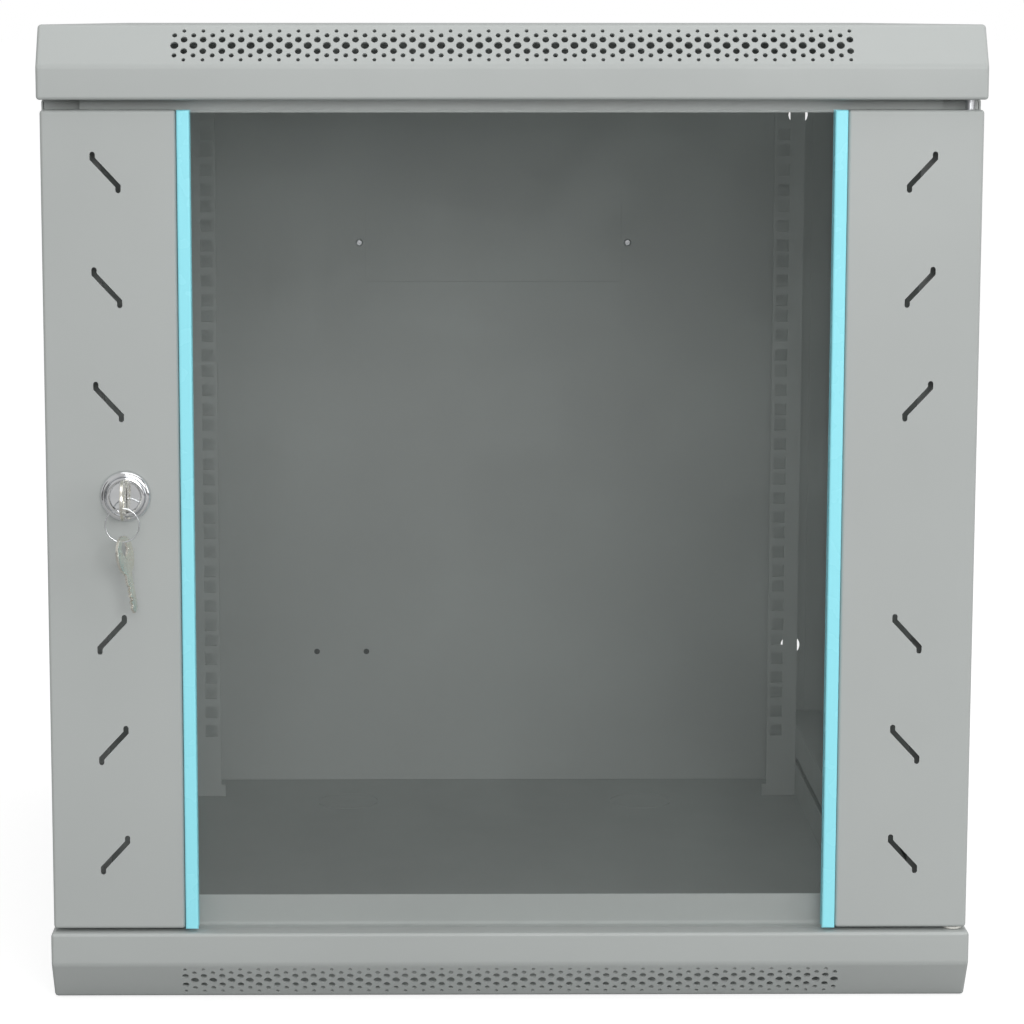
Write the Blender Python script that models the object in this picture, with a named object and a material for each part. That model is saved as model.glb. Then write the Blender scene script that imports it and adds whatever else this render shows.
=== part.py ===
"""Wall-mount 19-inch network rack cabinet with a framed glass door.

Metres, +Z up. The front faces -Y, and +X is to the right of someone who looks at the door.
The origin is the middle of the base. Every piece is one object, and a moving piece has its
origin on its joint's axis.
"""

import math

import bmesh
import bpy
from mathutils import Matrix, Vector

# ---------------------------------------------------------------- driving sizes

WIDTH = 0.600
DEPTH = 0.600
HEIGHT = 0.635

GAP = 0.0003  # between pieces that touch
SHEET = 0.0015  # covers, posts and depth brackets
PANEL_SHEET = 0.0012  # side panels, rear panel and door pans

# Covers: a tray with a sloping vented edge at the front, the same part above and below
BEVEL_HEIGHT = 0.026
BEVEL_DEPTH = 0.016
BAND_HEIGHT = 0.021
LIP_SETBACK = 0.022
LOWER_LIP_HEIGHT = 0.020
UPPER_LIP_OVERLAP = 0.002  # below the door's top edge
LIP_INSET = 0.025  # from each side of the cabinet
VENT_PITCH = 0.012
VENT_RADIUS = 0.0027
VENT_SIDES = 6
KNOCKOUT_RADIUS = 0.025
KNOCKOUT_SPACING = 0.240
KNOCKOUT_SETBACK = 0.075
KNOCKOUT_SLOT = 0.0010
KNOCKOUT_BRIDGE = math.radians(14)

# Door
DOOR_SETBACK = 0.005  # behind the covers' front
DOOR_SIDE_GAP = 0.0015
DOOR_LOWER_GAP = 0.002
DOOR_UPPER_GAP = 0.0065
DOOR_BACK_GAP = 0.0015  # to the covers' lips
STILE_WIDTH = 0.086
STILE_RETURN = 0.012
GLASS_THICKNESS = 0.005
GLASS_SETBACK = 0.0018  # behind the stiles' front
TRIM_WIDTH = 0.0083
TRIM_PROUD = 0.0015
TRIM_BACK_WALL = 0.0019
TRIM_BASE = 0.0037
TRIM_EDGE = 0.0006  # chamfer

# Slots in the stiles
SLOT_SPAN = 0.016
SLOT_RISE = 0.0172
SLOT_TAIL = 0.0028
SLOT_WIDTH = 0.0034
SLOT_PITCH = 0.0731
SLOTS_IN_A_GROUP = 3
UPPER_SLOT_DROP = 0.0392  # from the door's top to the first slot
LOWER_SLOT_RISE = 0.0495  # from the door's bottom to the first slot
LEFT_SLOT_INSET = 0.041  # from the door's edge
RIGHT_UPPER_SLOT_INSET = 0.0387
RIGHT_LOWER_SLOT_INSET = 0.0425

# Frame
POST_SETBACK = 0.027  # front posts' flange behind the covers' front
POST_FLANGE = 0.036
POST_WEB = 0.038
POST_RETURN = 0.015
BRACKET_HEIGHT = 0.060
BRACKET_FLANGE = 0.028
BRACKET_END_GAP = 0.003
EARTH_STUD = (-0.235, 0.050)  # x, and the distance behind the front
EARTH_STUD_TIP = 0.007  # above its nut
EARTH_WASHER = (0.008, 0.0016)  # radius, thickness
NUT_RADIUS = 0.0055
NUT_HEIGHT = 0.0045
STUD_RADIUS = 0.0025
STUD_HOLE_RADIUS = 0.0032
FIXING_HEIGHT = 0.024  # of the rear panel's fixings, from the underside and from the top

# Rack rails, to the 19-inch standard
RACK_UNIT = 0.04445
HOLE_OFFSETS = (0.00635, 0.022225, 0.0381)  # from a unit's lower edge
HOLE_SPACING = 0.4651
HOLE_SIZE = 0.0095
RAIL_OPENING = 0.450
RAIL_FACE = 0.024
RAIL_SIDE = 0.030
RAIL_SHEET = 0.002
RAIL_FOOT = 0.0035
RAIL_FOOT_HEIGHT = 0.010
FRONT_RAIL_SETBACK = 0.075
REAR_RAIL_SETBACK = 0.060
FRONT_RAIL_TRAVEL = 0.100
REAR_RAIL_TRAVEL = 0.250
RAIL_BOLT_INSET = 0.018  # behind the rail's face
BOLT_RADIUS = 0.003
BOLT_HEAD_RADIUS = 0.0058
BOLT_HEAD_HEIGHT = 0.005
BOLT_PLAY = 0.0005

# Rear panel
CABLE_OPENING = (0.211, 0.065)
CABLE_OPENING_DROP = 0.1795  # from the top to the middle of the opening
COVER_OVERLAP = 0.010
COVER_SCREW_RADIUS = 0.0015
COVER_SCREW_HEAD = (0.0032, 0.002)  # radius, height
KEYHOLE_INSET = 0.050
LOWER_KEYHOLE_RISE = 0.117
UPPER_KEYHOLE_DROP = 0.0745
KEYHOLE_RADIUS = 0.008
KEYHOLE_NECK = 0.004
KEYHOLE_RISE = 0.0176  # from the middle of the entry to the top of the neck
SMALL_HOLES = ((-0.1475, 0.112), (-0.106, 0.112))
SMALL_HOLE_RADIUS = 0.0018

# Side panels and their quarter-turn latches
PANEL_RETURN = 0.004
LATCH_DROP = 0.028  # below the panel's top edge
LATCH_RADIUS = 0.009
LATCH_FLANGE_RADIUS = 0.012
LATCH_PLUG_RADIUS = 0.006
LATCH_CAM = (0.012, 0.038, 0.0016)  # width, reach, thickness
LATCH_SLOT = (0.0016, 0.0012)  # width, depth

# Rubber pads behind the door's lock side
BUFFER_RADIUS = 0.005
BUFFER_DOME = 0.0012
BUFFER_DROP = 0.070  # from the door's top and bottom

# Door hinge
HINGE_INSET = 0.008  # from the door's edge and from its front
PIN_RADIUS = 0.003
PIN_CLEARANCE = 0.0002
PIN_HOLE_CLEARANCE = 0.0006
LOWER_PIN_REACH = 0.017  # into the door
LOWER_PIN_HEAD = (0.005, 0.003)  # radius, height
PIN_TIP = 0.001  # chamfer
THRUST_WASHER_RADIUS = 0.0065
BUSH_WALL = 0.0016
BUSH_COLLAR = (0.001, 0.0012)  # beyond the wall, height
HINGE_BLOCK_HEIGHT = 0.014
EAR_THICKNESS = 0.0016
UPPER_BRACKET_LENGTH = 0.045
UPPER_BRACKET_DROP = 0.0025  # below the door's top
UPPER_PIN_REACH = 0.0135  # above the door
UPPER_PIN_TRAVEL = 0.0095
UPPER_PIN_LENGTH = 0.062
PIN_COLLAR_RADIUS = 0.0045
PIN_COLLAR_HEIGHT = 0.003
PIN_LEVER = (0.018, 0.0042, 0.004)  # reach, width, thickness
PIN_TAB = 0.003  # thickness of the lever's bent end
PIN_TAB_PROUD = 0.001  # behind the door
SPRING_RADIUS = 0.0040
SPRING_WIRE = 0.0008
SPRING_TURNS = 6

# Lock and keys
LOCK_INSET = 0.051
LOCK_HEIGHT = 0.2863  # above the door's lower edge
LOCK_BEZEL_RADIUS = 0.0165
LOCK_RING_RADIUS = 0.0125
LOCK_BODY_RADIUS = 0.0112
LOCK_PROUD = 0.0042  # the inner ring's front, before the door
PLUG_PROUD = 0.0035  # the plug's face, before the door
PLUG_FACE_RADIUS = 0.0101
PLUG_FACE_DEPTH = 0.0022
PLUG_RADIUS = 0.008
LOCK_REACH = 0.0245  # from the door's front to the back of the lock
KEYWAY = (0.0024, 0.0096, 0.025)
LOCK_NUT_HEIGHT = 0.005
CAM_GAP = 0.0015  # between the lock's back and the cam
CAM_WIDTH = 0.018
CAM_REACH = 0.042
CAM_THICKNESS = 0.0025
CAM_SQUARE = 0.006
CAM_SCREW = ((0.0055, 0.0012), (0.0042, 0.0020))  # radius and height: washer, head
KEEPER_HEIGHT = 0.064
KEEPER_DEPTH = 0.008
KEEPER_BEND = 0.0015  # room for the bend in the post's corner
KEY_THICKNESS = 0.0019
KEY_BOW = (0.026, 0.025)  # across, along
KEY_NECK = 0.003  # from the bow to where the blade starts
KEY_BLADE = (0.0088, 0.022)
KEY_TEETH = 4
KEY_TEETH_REACH = (0.003, 0.018)  # along the blade
KEY_CUTS = (0.6, 0.35)  # depths, as parts of half the blade's width
KEY_HOLE_RADIUS = 0.0052
KEY_HOLE_EDGE = 0.0028  # of metal outside the hole
RING_RADIUS = 0.0108
RING_WIRE = 0.00065
SPARE_KEY_LEAN = math.radians(9)
SPARE_KEY_TURN = math.radians(-16)

# ---------------------------------------------------------------- derived places

HALF = WIDTH / 2
FRONT = -DEPTH / 2
BACK = DEPTH / 2
CAP = BEVEL_HEIGHT + BAND_HEIGHT
FLOOR = SHEET + GAP  # where pieces stand inside the lower cover
CEILING = HEIGHT - FLOOR
INSIDE = HALF - SHEET - GAP  # the posts' outer face

DOOR_FRONT = FRONT + DOOR_SETBACK
DOOR_BACK = FRONT + LIP_SETBACK - DOOR_BACK_GAP
DOOR_LOW = CAP + DOOR_LOWER_GAP
DOOR_HIGH = HEIGHT - CAP - DOOR_UPPER_GAP
DOOR_HALF = HALF - DOOR_SIDE_GAP
STILE_INNER = DOOR_HALF - STILE_WIDTH
TRIM_OUTER = STILE_INNER - GAP
TRIM_INNER = TRIM_OUTER - TRIM_WIDTH
GLASS_FRONT = DOOR_FRONT + GLASS_SETBACK
GLASS_BACK = GLASS_FRONT + GLASS_THICKNESS
GLASS_HALF = TRIM_OUTER - TRIM_BASE - GAP

REAR_PANEL_BACK = BACK - SHEET - GAP
REAR_PANEL_FRONT = REAR_PANEL_BACK - PANEL_SHEET
POST_FRONT = FRONT + POST_SETBACK
POST_REAR = REAR_PANEL_FRONT - GAP
RAIL_HALF = RAIL_OPENING / 2
BRACKET_WEB = RAIL_HALF + RAIL_FACE + GAP
BRACKET_FRONT = POST_FRONT + SHEET + BRACKET_END_GAP
BRACKET_REAR = POST_REAR - SHEET - BRACKET_END_GAP
RAIL_BOLT_HEIGHT = FLOOR + BRACKET_HEIGHT / 2

HINGE_X = DOOR_HALF - HINGE_INSET
HINGE_Y = DOOR_FRONT + HINGE_INSET
LOCK_X = -DOOR_HALF + LOCK_INSET
LOCK_Z = DOOR_LOW + LOCK_HEIGHT
LOCK_CENTRE = (LOCK_X, 0, LOCK_Z)
LOCK_BACK = DOOR_FRONT + LOCK_REACH
PLUG_FRONT = DOOR_FRONT - PLUG_PROUD
CAM_FRONT = LOCK_BACK + CAM_GAP
PANEL_LOW = CAP + GAP
PANEL_HIGH = HEIGHT - CAP - GAP
PANEL_INNER = HALF - SHEET
PANEL_OUTER = PANEL_INNER + PANEL_SHEET
LATCH_Z = PANEL_HIGH - LATCH_DROP

SIDES = {"left": -1, "right": 1}

# ---------------------------------------------------------------- materials

FINISHES = {
    # name: (red, green, blue), metallic, roughness
    "painted_steel": ((0.40, 0.42, 0.415), 0.0, 0.45),
    "zinc_plated_steel": ((0.62, 0.63, 0.64), 1.0, 0.35),
    "chrome": ((0.80, 0.81, 0.82), 1.0, 0.12),
    "nickel_silver": ((0.66, 0.62, 0.53), 1.0, 0.28),
    "brass": ((0.72, 0.55, 0.27), 1.0, 0.30),
    "toughened_glass": ((0.55, 0.60, 0.58), 0.0, 0.05),
    "blue_trim": ((0.31, 0.77, 0.98), 0.0, 0.35),
    "nylon": ((0.75, 0.75, 0.72), 0.0, 0.5),
    "rubber": ((0.03, 0.03, 0.03), 0.0, 0.8),
    "spring_steel": ((0.60, 0.61, 0.63), 1.0, 0.3),
}


def material(piece, finish):
    """A material of the piece's own, in one of the finishes."""
    colour, metallic, roughness = FINISHES[finish]
    made = bpy.data.materials.new(piece + "_" + finish)
    made.use_nodes = True
    made.diffuse_color = (*colour, 1.0)
    shader = made.node_tree.nodes["Principled BSDF"]
    shader.inputs["Base Color"].default_value = (*colour, 1.0)
    shader.inputs["Metallic"].default_value = metallic
    shader.inputs["Roughness"].default_value = roughness
    if finish == "toughened_glass":
        shader.inputs["Transmission Weight"].default_value = 0.9
    return made


# ---------------------------------------------------------------- shapes


def mesh_of(shape):
    """Turns a bmesh into a mesh whose faces point out."""
    bmesh.ops.recalc_face_normals(shape, faces=shape.faces)
    mesh = bpy.data.meshes.new("shape")
    shape.to_mesh(mesh)
    shape.free()
    return mesh


AXIS_PLACES = {
    # how (first, second, along) of an outline's own plane become x, y, z
    "X": lambda a, b, c: (c, a, b),
    "Y": lambda a, b, c: (a, c, b),
    "Z": lambda a, b, c: (a, b, c),
}


def prism(outline, axis, low, high):
    """An outline in the plane across axis, extruded along axis from low to high."""
    place = AXIS_PLACES[axis]
    shape = bmesh.new()
    lower = [shape.verts.new(place(a, b, low)) for a, b in outline]
    upper = [shape.verts.new(place(a, b, high)) for a, b in outline]
    shape.faces.new(lower)
    shape.faces.new(upper)
    for i in range(len(outline)):
        shape.faces.new((lower[i - 1], lower[i], upper[i], upper[i - 1]))
    return mesh_of(shape)


def box(low, high):
    """A block between two opposite corners, given in any order."""
    (x0, x1), (y0, y1), (z0, z1) = (sorted(pair) for pair in zip(low, high))
    return prism([(x0, y0), (x1, y0), (x1, y1), (x0, y1)], "Z", z0, z1)


def circle(centre, radius, sides, start=0.0):
    """Points evenly round a circle."""
    return [
        (
            centre[0] + radius * math.cos(start + math.tau * i / sides),
            centre[1] + radius * math.sin(start + math.tau * i / sides),
        )
        for i in range(sides)
    ]


def turned(profile, sides, axis, centre):
    """A solid of revolution. The profile holds (radius, place along axis); ends on the axis are closed."""
    place = AXIS_PLACES[axis]
    across = {"X": (1, 2), "Y": (0, 2), "Z": (0, 1)}[axis]
    middle = (centre[across[0]], centre[across[1]])
    shape = bmesh.new()
    rings = []
    for radius, along in profile:
        if radius == 0:
            rings.append([shape.verts.new(place(*middle, along))])
        else:
            points = circle(middle, radius, sides, math.pi / sides)
            rings.append([shape.verts.new(place(a, b, along)) for a, b in points])
    closed = profile[0][0] != 0
    for i in range(len(rings) if closed else len(rings) - 1):
        first, second = rings[i], rings[(i + 1) % len(rings)]
        for k in range(sides):
            corners = [first[k % len(first)], first[(k + 1) % len(first)]]
            corners += [second[(k + 1) % len(second)], second[k % len(second)]]
            shape.faces.new(list(dict.fromkeys(corners)))
    return mesh_of(shape)


def folded(path, thickness):
    """The closed outline of sheet bent along path, its thickness on the right-hand side."""
    points = [Vector(point) for point in path]
    runs = [(b - a).normalized() for a, b in zip(points, points[1:])]
    rights = [Vector((run.y, -run.x)) for run in runs]
    inner = []
    for i, point in enumerate(points):
        before, after = rights[max(i - 1, 0)], rights[min(i, len(rights) - 1)]
        mitre = (before + after).normalized()
        inner.append(point + mitre * (thickness / mitre.dot(before)))
    return [tuple(p) for p in points + inner[::-1]]


def together(*meshes):
    """Several cutters as one mesh, each still a separate body."""
    shape = bmesh.new()
    for mesh in meshes:
        shape.from_mesh(mesh)
    joined = bpy.data.meshes.new("shape")
    shape.to_mesh(joined)
    shape.free()
    return joined


def moved(mesh, matrix):
    """A copy of the mesh carried by matrix, its faces still pointing out."""
    copy = mesh.copy()
    copy.transform(matrix)
    if matrix.determinant() < 0:
        copy.flip_normals()
    return copy


def boolean(base, tool, operation):
    """base with tool joined to it (UNION) or cut away from it (DIFFERENCE)."""
    helpers = []
    for mesh in (base, tool):
        helper = bpy.data.objects.new("helper", mesh)
        bpy.context.scene.collection.objects.link(helper)
        helpers.append(helper)
    modifier = helpers[0].modifiers.new("shape", "BOOLEAN")
    modifier.operation = operation
    modifier.solver = "EXACT"
    modifier.object = helpers[1]
    graph = bpy.context.evaluated_depsgraph_get()
    result = bpy.data.meshes.new_from_object(helpers[0].evaluated_get(graph))
    for helper in helpers:
        bpy.data.objects.remove(helper)
    return result


def fused(base, *tools):
    for tool in tools:
        base = boolean(base, tool, "UNION")
    return base


def cut(base, *tools):
    return boolean(base, together(*tools), "DIFFERENCE")


def piece(name, mesh, finish, pivot=(0, 0, 0), parent=None):
    """Puts a finished mesh in the scene as one object, with its origin at pivot."""
    mesh.name = name
    mesh.transform(Matrix.Translation(-Vector(pivot)))
    mesh.materials.clear()
    mesh.materials.append(material(name, finish))
    mesh.shade_smooth()
    mesh.set_sharp_from_angle(angle=math.radians(35))
    made = bpy.data.objects.new(name, mesh)
    made.location = pivot
    bpy.context.scene.collection.objects.link(made)
    if parent:
        made.parent = parent
        made.matrix_parent_inverse = parent.matrix_world.inverted()
    return made


def pivot_empty(name, place, parent=None):
    """An empty on a joint's axis, which the pieces of one moving body hang from."""
    made = bpy.data.objects.new(name, None)
    made.location = place if parent is None else Vector(place) - parent.matrix_world.translation
    made.parent = parent
    bpy.context.scene.collection.objects.link(made)
    bpy.context.view_layer.update()
    return made


# ---------------------------------------------------------------- covers


def vent_places():
    """Middles of the large vents along X, counted from the left of the upper cover."""
    columns = math.ceil(2 * STILE_INNER / VENT_PITCH)
    first = -(columns - 0.5) / 2 * VENT_PITCH
    return [first + i * VENT_PITCH for i in range(columns)]


def vent_cutters(side):
    """Hexagonal bars square to the sloping edge, through its middle."""
    slope = math.atan2(BEVEL_HEIGHT, BEVEL_DEPTH)
    middle = Vector((0, FRONT + BEVEL_DEPTH / 2, BEVEL_HEIGHT / 2))
    bar = prism(circle((0, 0), VENT_RADIUS, VENT_SIDES), "Z", -4 * SHEET, 4 * SHEET)
    tilt = Matrix.Rotation(-(math.pi - slope), 4, "X")
    return [
        moved(bar, Matrix.Translation(middle + Vector((side * x, 0, 0))) @ tilt)
        for x in vent_places()
    ]


def cover(lip_height):
    """A tray with side and rear skirts, sloping front, band, inward flange and upstanding lip."""
    outer = [
        (BACK, 0),
        (BACK, CAP),
        (FRONT, CAP),
        (FRONT, BEVEL_HEIGHT),
        (FRONT + BEVEL_DEPTH, 0),
    ]
    front_path = [
        (BACK - SHEET, 0),
        (FRONT + BEVEL_DEPTH, 0),
        (FRONT, BEVEL_HEIGHT),
        (FRONT, CAP),
        (FRONT + LIP_SETBACK + SHEET, CAP),
    ]
    sheet = folded(front_path, SHEET)
    inner_front = sheet[len(front_path) :][::-1]
    hollow = [
        (BACK - SHEET, CAP + SHEET),
        (FRONT + LIP_SETBACK + SHEET, CAP + SHEET),
        (FRONT + LIP_SETBACK + SHEET, inner_front[4][1]),
        inner_front[3],
        inner_front[2],
        inner_front[1],
        (BACK - SHEET, SHEET),
    ]
    tray = cut(
        prism(outer, "X", -HALF, HALF),
        prism(hollow, "X", -HALF + SHEET, HALF - SHEET),
    )
    lip_front = FRONT + LIP_SETBACK
    lip = box(
        (-HALF + LIP_INSET, lip_front, CAP - SHEET / 2),
        (HALF - LIP_INSET, lip_front + SHEET, CAP + lip_height),
    )
    holes = vent_cutters(-1)
    for side in SIDES.values():
        for start in (0, math.pi):
            holes.append(prism(knockout_slot(side, start), "Z", -SHEET, 2 * SHEET))
        pin = circle((side * HINGE_X, HINGE_Y), PIN_RADIUS + PIN_HOLE_CLEARANCE, 12)
        holes.append(prism(pin, "Z", CAP - 2 * SHEET, CAP + SHEET))
    return cut(fused(tray, lip), *holes)


def knockout_slot(side, start):
    """Half of the slot round a knock-out, between the two bridges that hold the disc."""
    x, y = side * KNOCKOUT_SPACING / 2, BACK - KNOCKOUT_SETBACK
    low, high = start + KNOCKOUT_BRIDGE / 2, start + math.pi - KNOCKOUT_BRIDGE / 2
    turns = [low + (high - low) * i / 10 for i in range(11)]
    outer = [(x + KNOCKOUT_RADIUS * math.cos(a), y + KNOCKOUT_RADIUS * math.sin(a)) for a in turns]
    radius = KNOCKOUT_RADIUS - KNOCKOUT_SLOT
    inner = [(x + radius * math.cos(a), y + radius * math.sin(a)) for a in reversed(turns)]
    return outer + inner


def turned_over(mesh):
    """A cover carried to the top, for the upper one is the lower one turned over."""
    return moved(mesh, Matrix.Translation((0, 0, HEIGHT)) @ Matrix.Rotation(math.pi, 4, "Y"))


def add_covers():
    upper_lip_height = DOOR_UPPER_GAP + UPPER_LIP_OVERLAP
    piece("bottom_cover", cover(LOWER_LIP_HEIGHT), "painted_steel")
    piece("top_cover", turned_over(cover(upper_lip_height)), "painted_steel")


# ---------------------------------------------------------------- frame


def post(side, end):
    """A corner post: flange, web against the side skirts, and return, in that order round it."""
    start, inward = (POST_FRONT, 1) if end == "front" else (POST_REAR, -1)
    path = [
        (INSIDE - POST_FLANGE, 0),
        (INSIDE, 0),
        (INSIDE, POST_WEB),
        (INSIDE - POST_RETURN, POST_WEB),
    ]
    outline = folded([(x, -y) for x, y in path], SHEET)
    outline = [(side * x, start - inward * y) for x, y in outline]
    shape = prism(outline, "Z", FLOOR, CEILING)
    if end == "front":
        return shape
    holes = [
        prism(circle((x, z), STUD_HOLE_RADIUS, 8), "Y", POST_REAR - 2 * SHEET, POST_REAR + GAP)
        for x, z in rear_fixing_places()
        if x * side > 0
    ]
    return cut(shape, *holes)


def stud_with_nut(place, axis, towards, stack):
    """A welded stud and its nut. It starts at place and passes a stack of sheet of that thickness."""
    base = {"X": place[0], "Y": place[1], "Z": place[2]}[axis]
    nut = stack + GAP
    profile = [
        (0, 0),
        (STUD_RADIUS, 0),
        (STUD_RADIUS, nut),
        (NUT_RADIUS, nut),
        (NUT_RADIUS, nut + NUT_HEIGHT),
        (0, nut + NUT_HEIGHT),
    ]
    profile = [(radius, base + towards * along) for radius, along in profile]
    return turned(profile, 6, axis, place)


def bracket_path():
    return [
        (BRACKET_WEB + BRACKET_FLANGE, 0),
        (BRACKET_WEB, 0),
        (BRACKET_WEB, BRACKET_HEIGHT),
        (BRACKET_WEB + BRACKET_FLANGE, BRACKET_HEIGHT),
    ]


def rail_slots():
    """(nearest, furthest) bolt places along Y of the front and the rear rails."""
    front = FRONT + FRONT_RAIL_SETBACK + RAIL_BOLT_INSET
    rear = BACK - REAR_RAIL_SETBACK + RAIL_BOLT_INSET
    return {
        "front": (front, front + FRONT_RAIL_TRAVEL),
        "rear": (rear - REAR_RAIL_TRAVEL, rear),
    }


def depth_bracket(side, level):
    """A channel from front to back that carries the rails, with its flanges towards the side."""
    lower = level == "lower"
    outline = folded(bracket_path(), SHEET)
    outline = [(side * x, FLOOR + z if lower else CEILING - z) for x, z in outline]
    bolt_z = RAIL_BOLT_HEIGHT if lower else HEIGHT - RAIL_BOLT_HEIGHT
    wide = BOLT_RADIUS + BOLT_PLAY
    web = (side * (BRACKET_WEB - SHEET), side * (BRACKET_WEB + 2 * SHEET))
    cutters = []
    for first, last in rail_slots().values():
        low, high = (web[0], first - wide, bolt_z - wide), (web[1], last + wide, bolt_z + wide)
        cutters.append(box(low, high))
    return cut(prism(outline, "Y", BRACKET_FRONT, BRACKET_REAR), *cutters)


def add_frame():
    for name, side in SIDES.items():
        for end in ("front", "rear"):
            piece(f"corner_post_{end}_{name}", post(side, end), "painted_steel")
        for level in ("lower", "upper"):
            bracket = depth_bracket(side, level)
            piece(f"depth_bracket_{level}_{name}", bracket, "painted_steel")


def add_earth_stud():
    """The bonding stud on the floor: washer, nut and threaded end in one."""
    x, y = EARTH_STUD[0], FRONT + EARTH_STUD[1]
    radius, thickness = EARTH_WASHER
    washer_top = FLOOR + thickness
    nut_top = washer_top + NUT_HEIGHT
    profile = [
        (0, FLOOR),
        (radius, FLOOR),
        (radius, washer_top),
        (NUT_RADIUS, washer_top),
        (NUT_RADIUS, nut_top),
        (STUD_RADIUS, nut_top),
        (STUD_RADIUS, nut_top + EARTH_STUD_TIP),
        (0, nut_top + EARTH_STUD_TIP),
    ]
    piece("earth_stud", turned(profile, 12, "Z", (x, y, 0)), "brass")


# ---------------------------------------------------------------- rear panel


def cable_opening_z():
    return HEIGHT - CABLE_OPENING_DROP


def rectangle(centre, size, grow=0.0):
    half = (size[0] / 2 + grow, size[1] / 2 + grow)
    return [
        (centre[0] + a * half[0], centre[1] + b * half[1])
        for a, b in ((-1, -1), (1, -1), (1, 1), (-1, 1))
    ]


def keyhole(x, z):
    """The outline of a wall-fixing keyhole: a round entry with a neck above it."""
    half = math.asin(KEYHOLE_NECK / KEYHOLE_RADIUS)
    start, end = math.pi / 2 + half, math.pi / 2 - half + math.tau
    steps = 14
    arc = [start + (end - start) * i / steps for i in range(steps + 1)]
    entry = [(x + KEYHOLE_RADIUS * math.cos(a), z + KEYHOLE_RADIUS * math.sin(a)) for a in arc]
    top = z + KEYHOLE_RISE
    cap = [math.pi * i / 6 for i in range(7)]
    neck = [(x + KEYHOLE_NECK * math.cos(a), top + KEYHOLE_NECK * math.sin(a)) for a in cap]
    return entry + neck


def cover_screw_places():
    x = CABLE_OPENING[0] / 2 + COVER_OVERLAP / 2
    return {name: (side * x, cable_opening_z()) for name, side in SIDES.items()}


def rear_fixing_places():
    """Studs through the rear panel and the rear posts' flanges, near each corner."""
    x = INSIDE - POST_FLANGE / 2
    return [(a * x, z) for a in (-1, 1) for z in (FIXING_HEIGHT, HEIGHT - FIXING_HEIGHT)]


def rear_panel():
    plate = prism(
        rectangle((0, HEIGHT / 2), (2 * INSIDE, HEIGHT - 2 * FLOOR)),
        "Y",
        REAR_PANEL_FRONT,
        REAR_PANEL_BACK,
    )
    outlines = [rectangle((0, cable_opening_z()), CABLE_OPENING)]
    outlines += [circle(place, SMALL_HOLE_RADIUS, 12) for place in SMALL_HOLES]
    screws = cover_screw_places().values()
    outlines += [circle(place, COVER_SCREW_RADIUS + GAP, 8) for place in screws]
    outlines += [circle(p, STUD_HOLE_RADIUS, 8) for p in rear_fixing_places()]
    for side in SIDES.values():
        for z in (LOWER_KEYHOLE_RISE, HEIGHT - UPPER_KEYHOLE_DROP):
            outlines.append(keyhole(side * (HALF - KEYHOLE_INSET), z))
    low, high = REAR_PANEL_FRONT - SHEET, REAR_PANEL_BACK + SHEET
    return cut(plate, *[prism(outline, "Y", low, high) for outline in outlines])


def cable_cover():
    """A plate behind the cable opening, held by two screws from the inside."""
    low = REAR_PANEL_BACK + GAP
    plate = rectangle((0, cable_opening_z()), CABLE_OPENING, COVER_OVERLAP)
    holes = [
        prism(circle(place, COVER_SCREW_RADIUS + GAP, 8), "Y", low - SHEET, BACK + SHEET)
        for place in cover_screw_places().values()
    ]
    return cut(prism(plate, "Y", low, low + PANEL_SHEET), *holes)


def cover_screw(x, z):
    radius, height = COVER_SCREW_HEAD
    head = REAR_PANEL_FRONT - GAP
    profile = [
        (0, head - height),
        (radius * 0.7, head - height),
        (radius, head - height * 0.4),
        (radius, head),
        (COVER_SCREW_RADIUS, head),
        (COVER_SCREW_RADIUS, REAR_PANEL_BACK + GAP + PANEL_SHEET),
        (0, REAR_PANEL_BACK + GAP + PANEL_SHEET),
    ]
    return turned(profile, 8, "Y", (x, 0, z))


def add_rear_panel():
    piece("rear_panel", rear_panel(), "painted_steel")
    piece("rear_cable_cover", cable_cover(), "painted_steel")
    for name, place in cover_screw_places().items():
        piece(f"cable_cover_screw_{name}", cover_screw(*place), "zinc_plated_steel")
    stack = REAR_PANEL_BACK - (POST_REAR - SHEET)
    for x, z in rear_fixing_places():
        name = "{}_{}".format("upper" if z > HEIGHT / 2 else "lower", "right" if x > 0 else "left")
        nut = stud_with_nut((x, REAR_PANEL_BACK, z), "Y", -1, stack)
        piece(f"rear_panel_nut_{name}", nut, "zinc_plated_steel")


# ---------------------------------------------------------------- rack rails


def hole_heights():
    """Middles of the square holes, for the whole rack units that fit between the covers."""
    units = int((HEIGHT - 2 * CAP) / RACK_UNIT)
    start = (HEIGHT - units * RACK_UNIT) / 2
    return [start + unit * RACK_UNIT + offset for unit in range(units) for offset in HOLE_OFFSETS]


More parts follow.
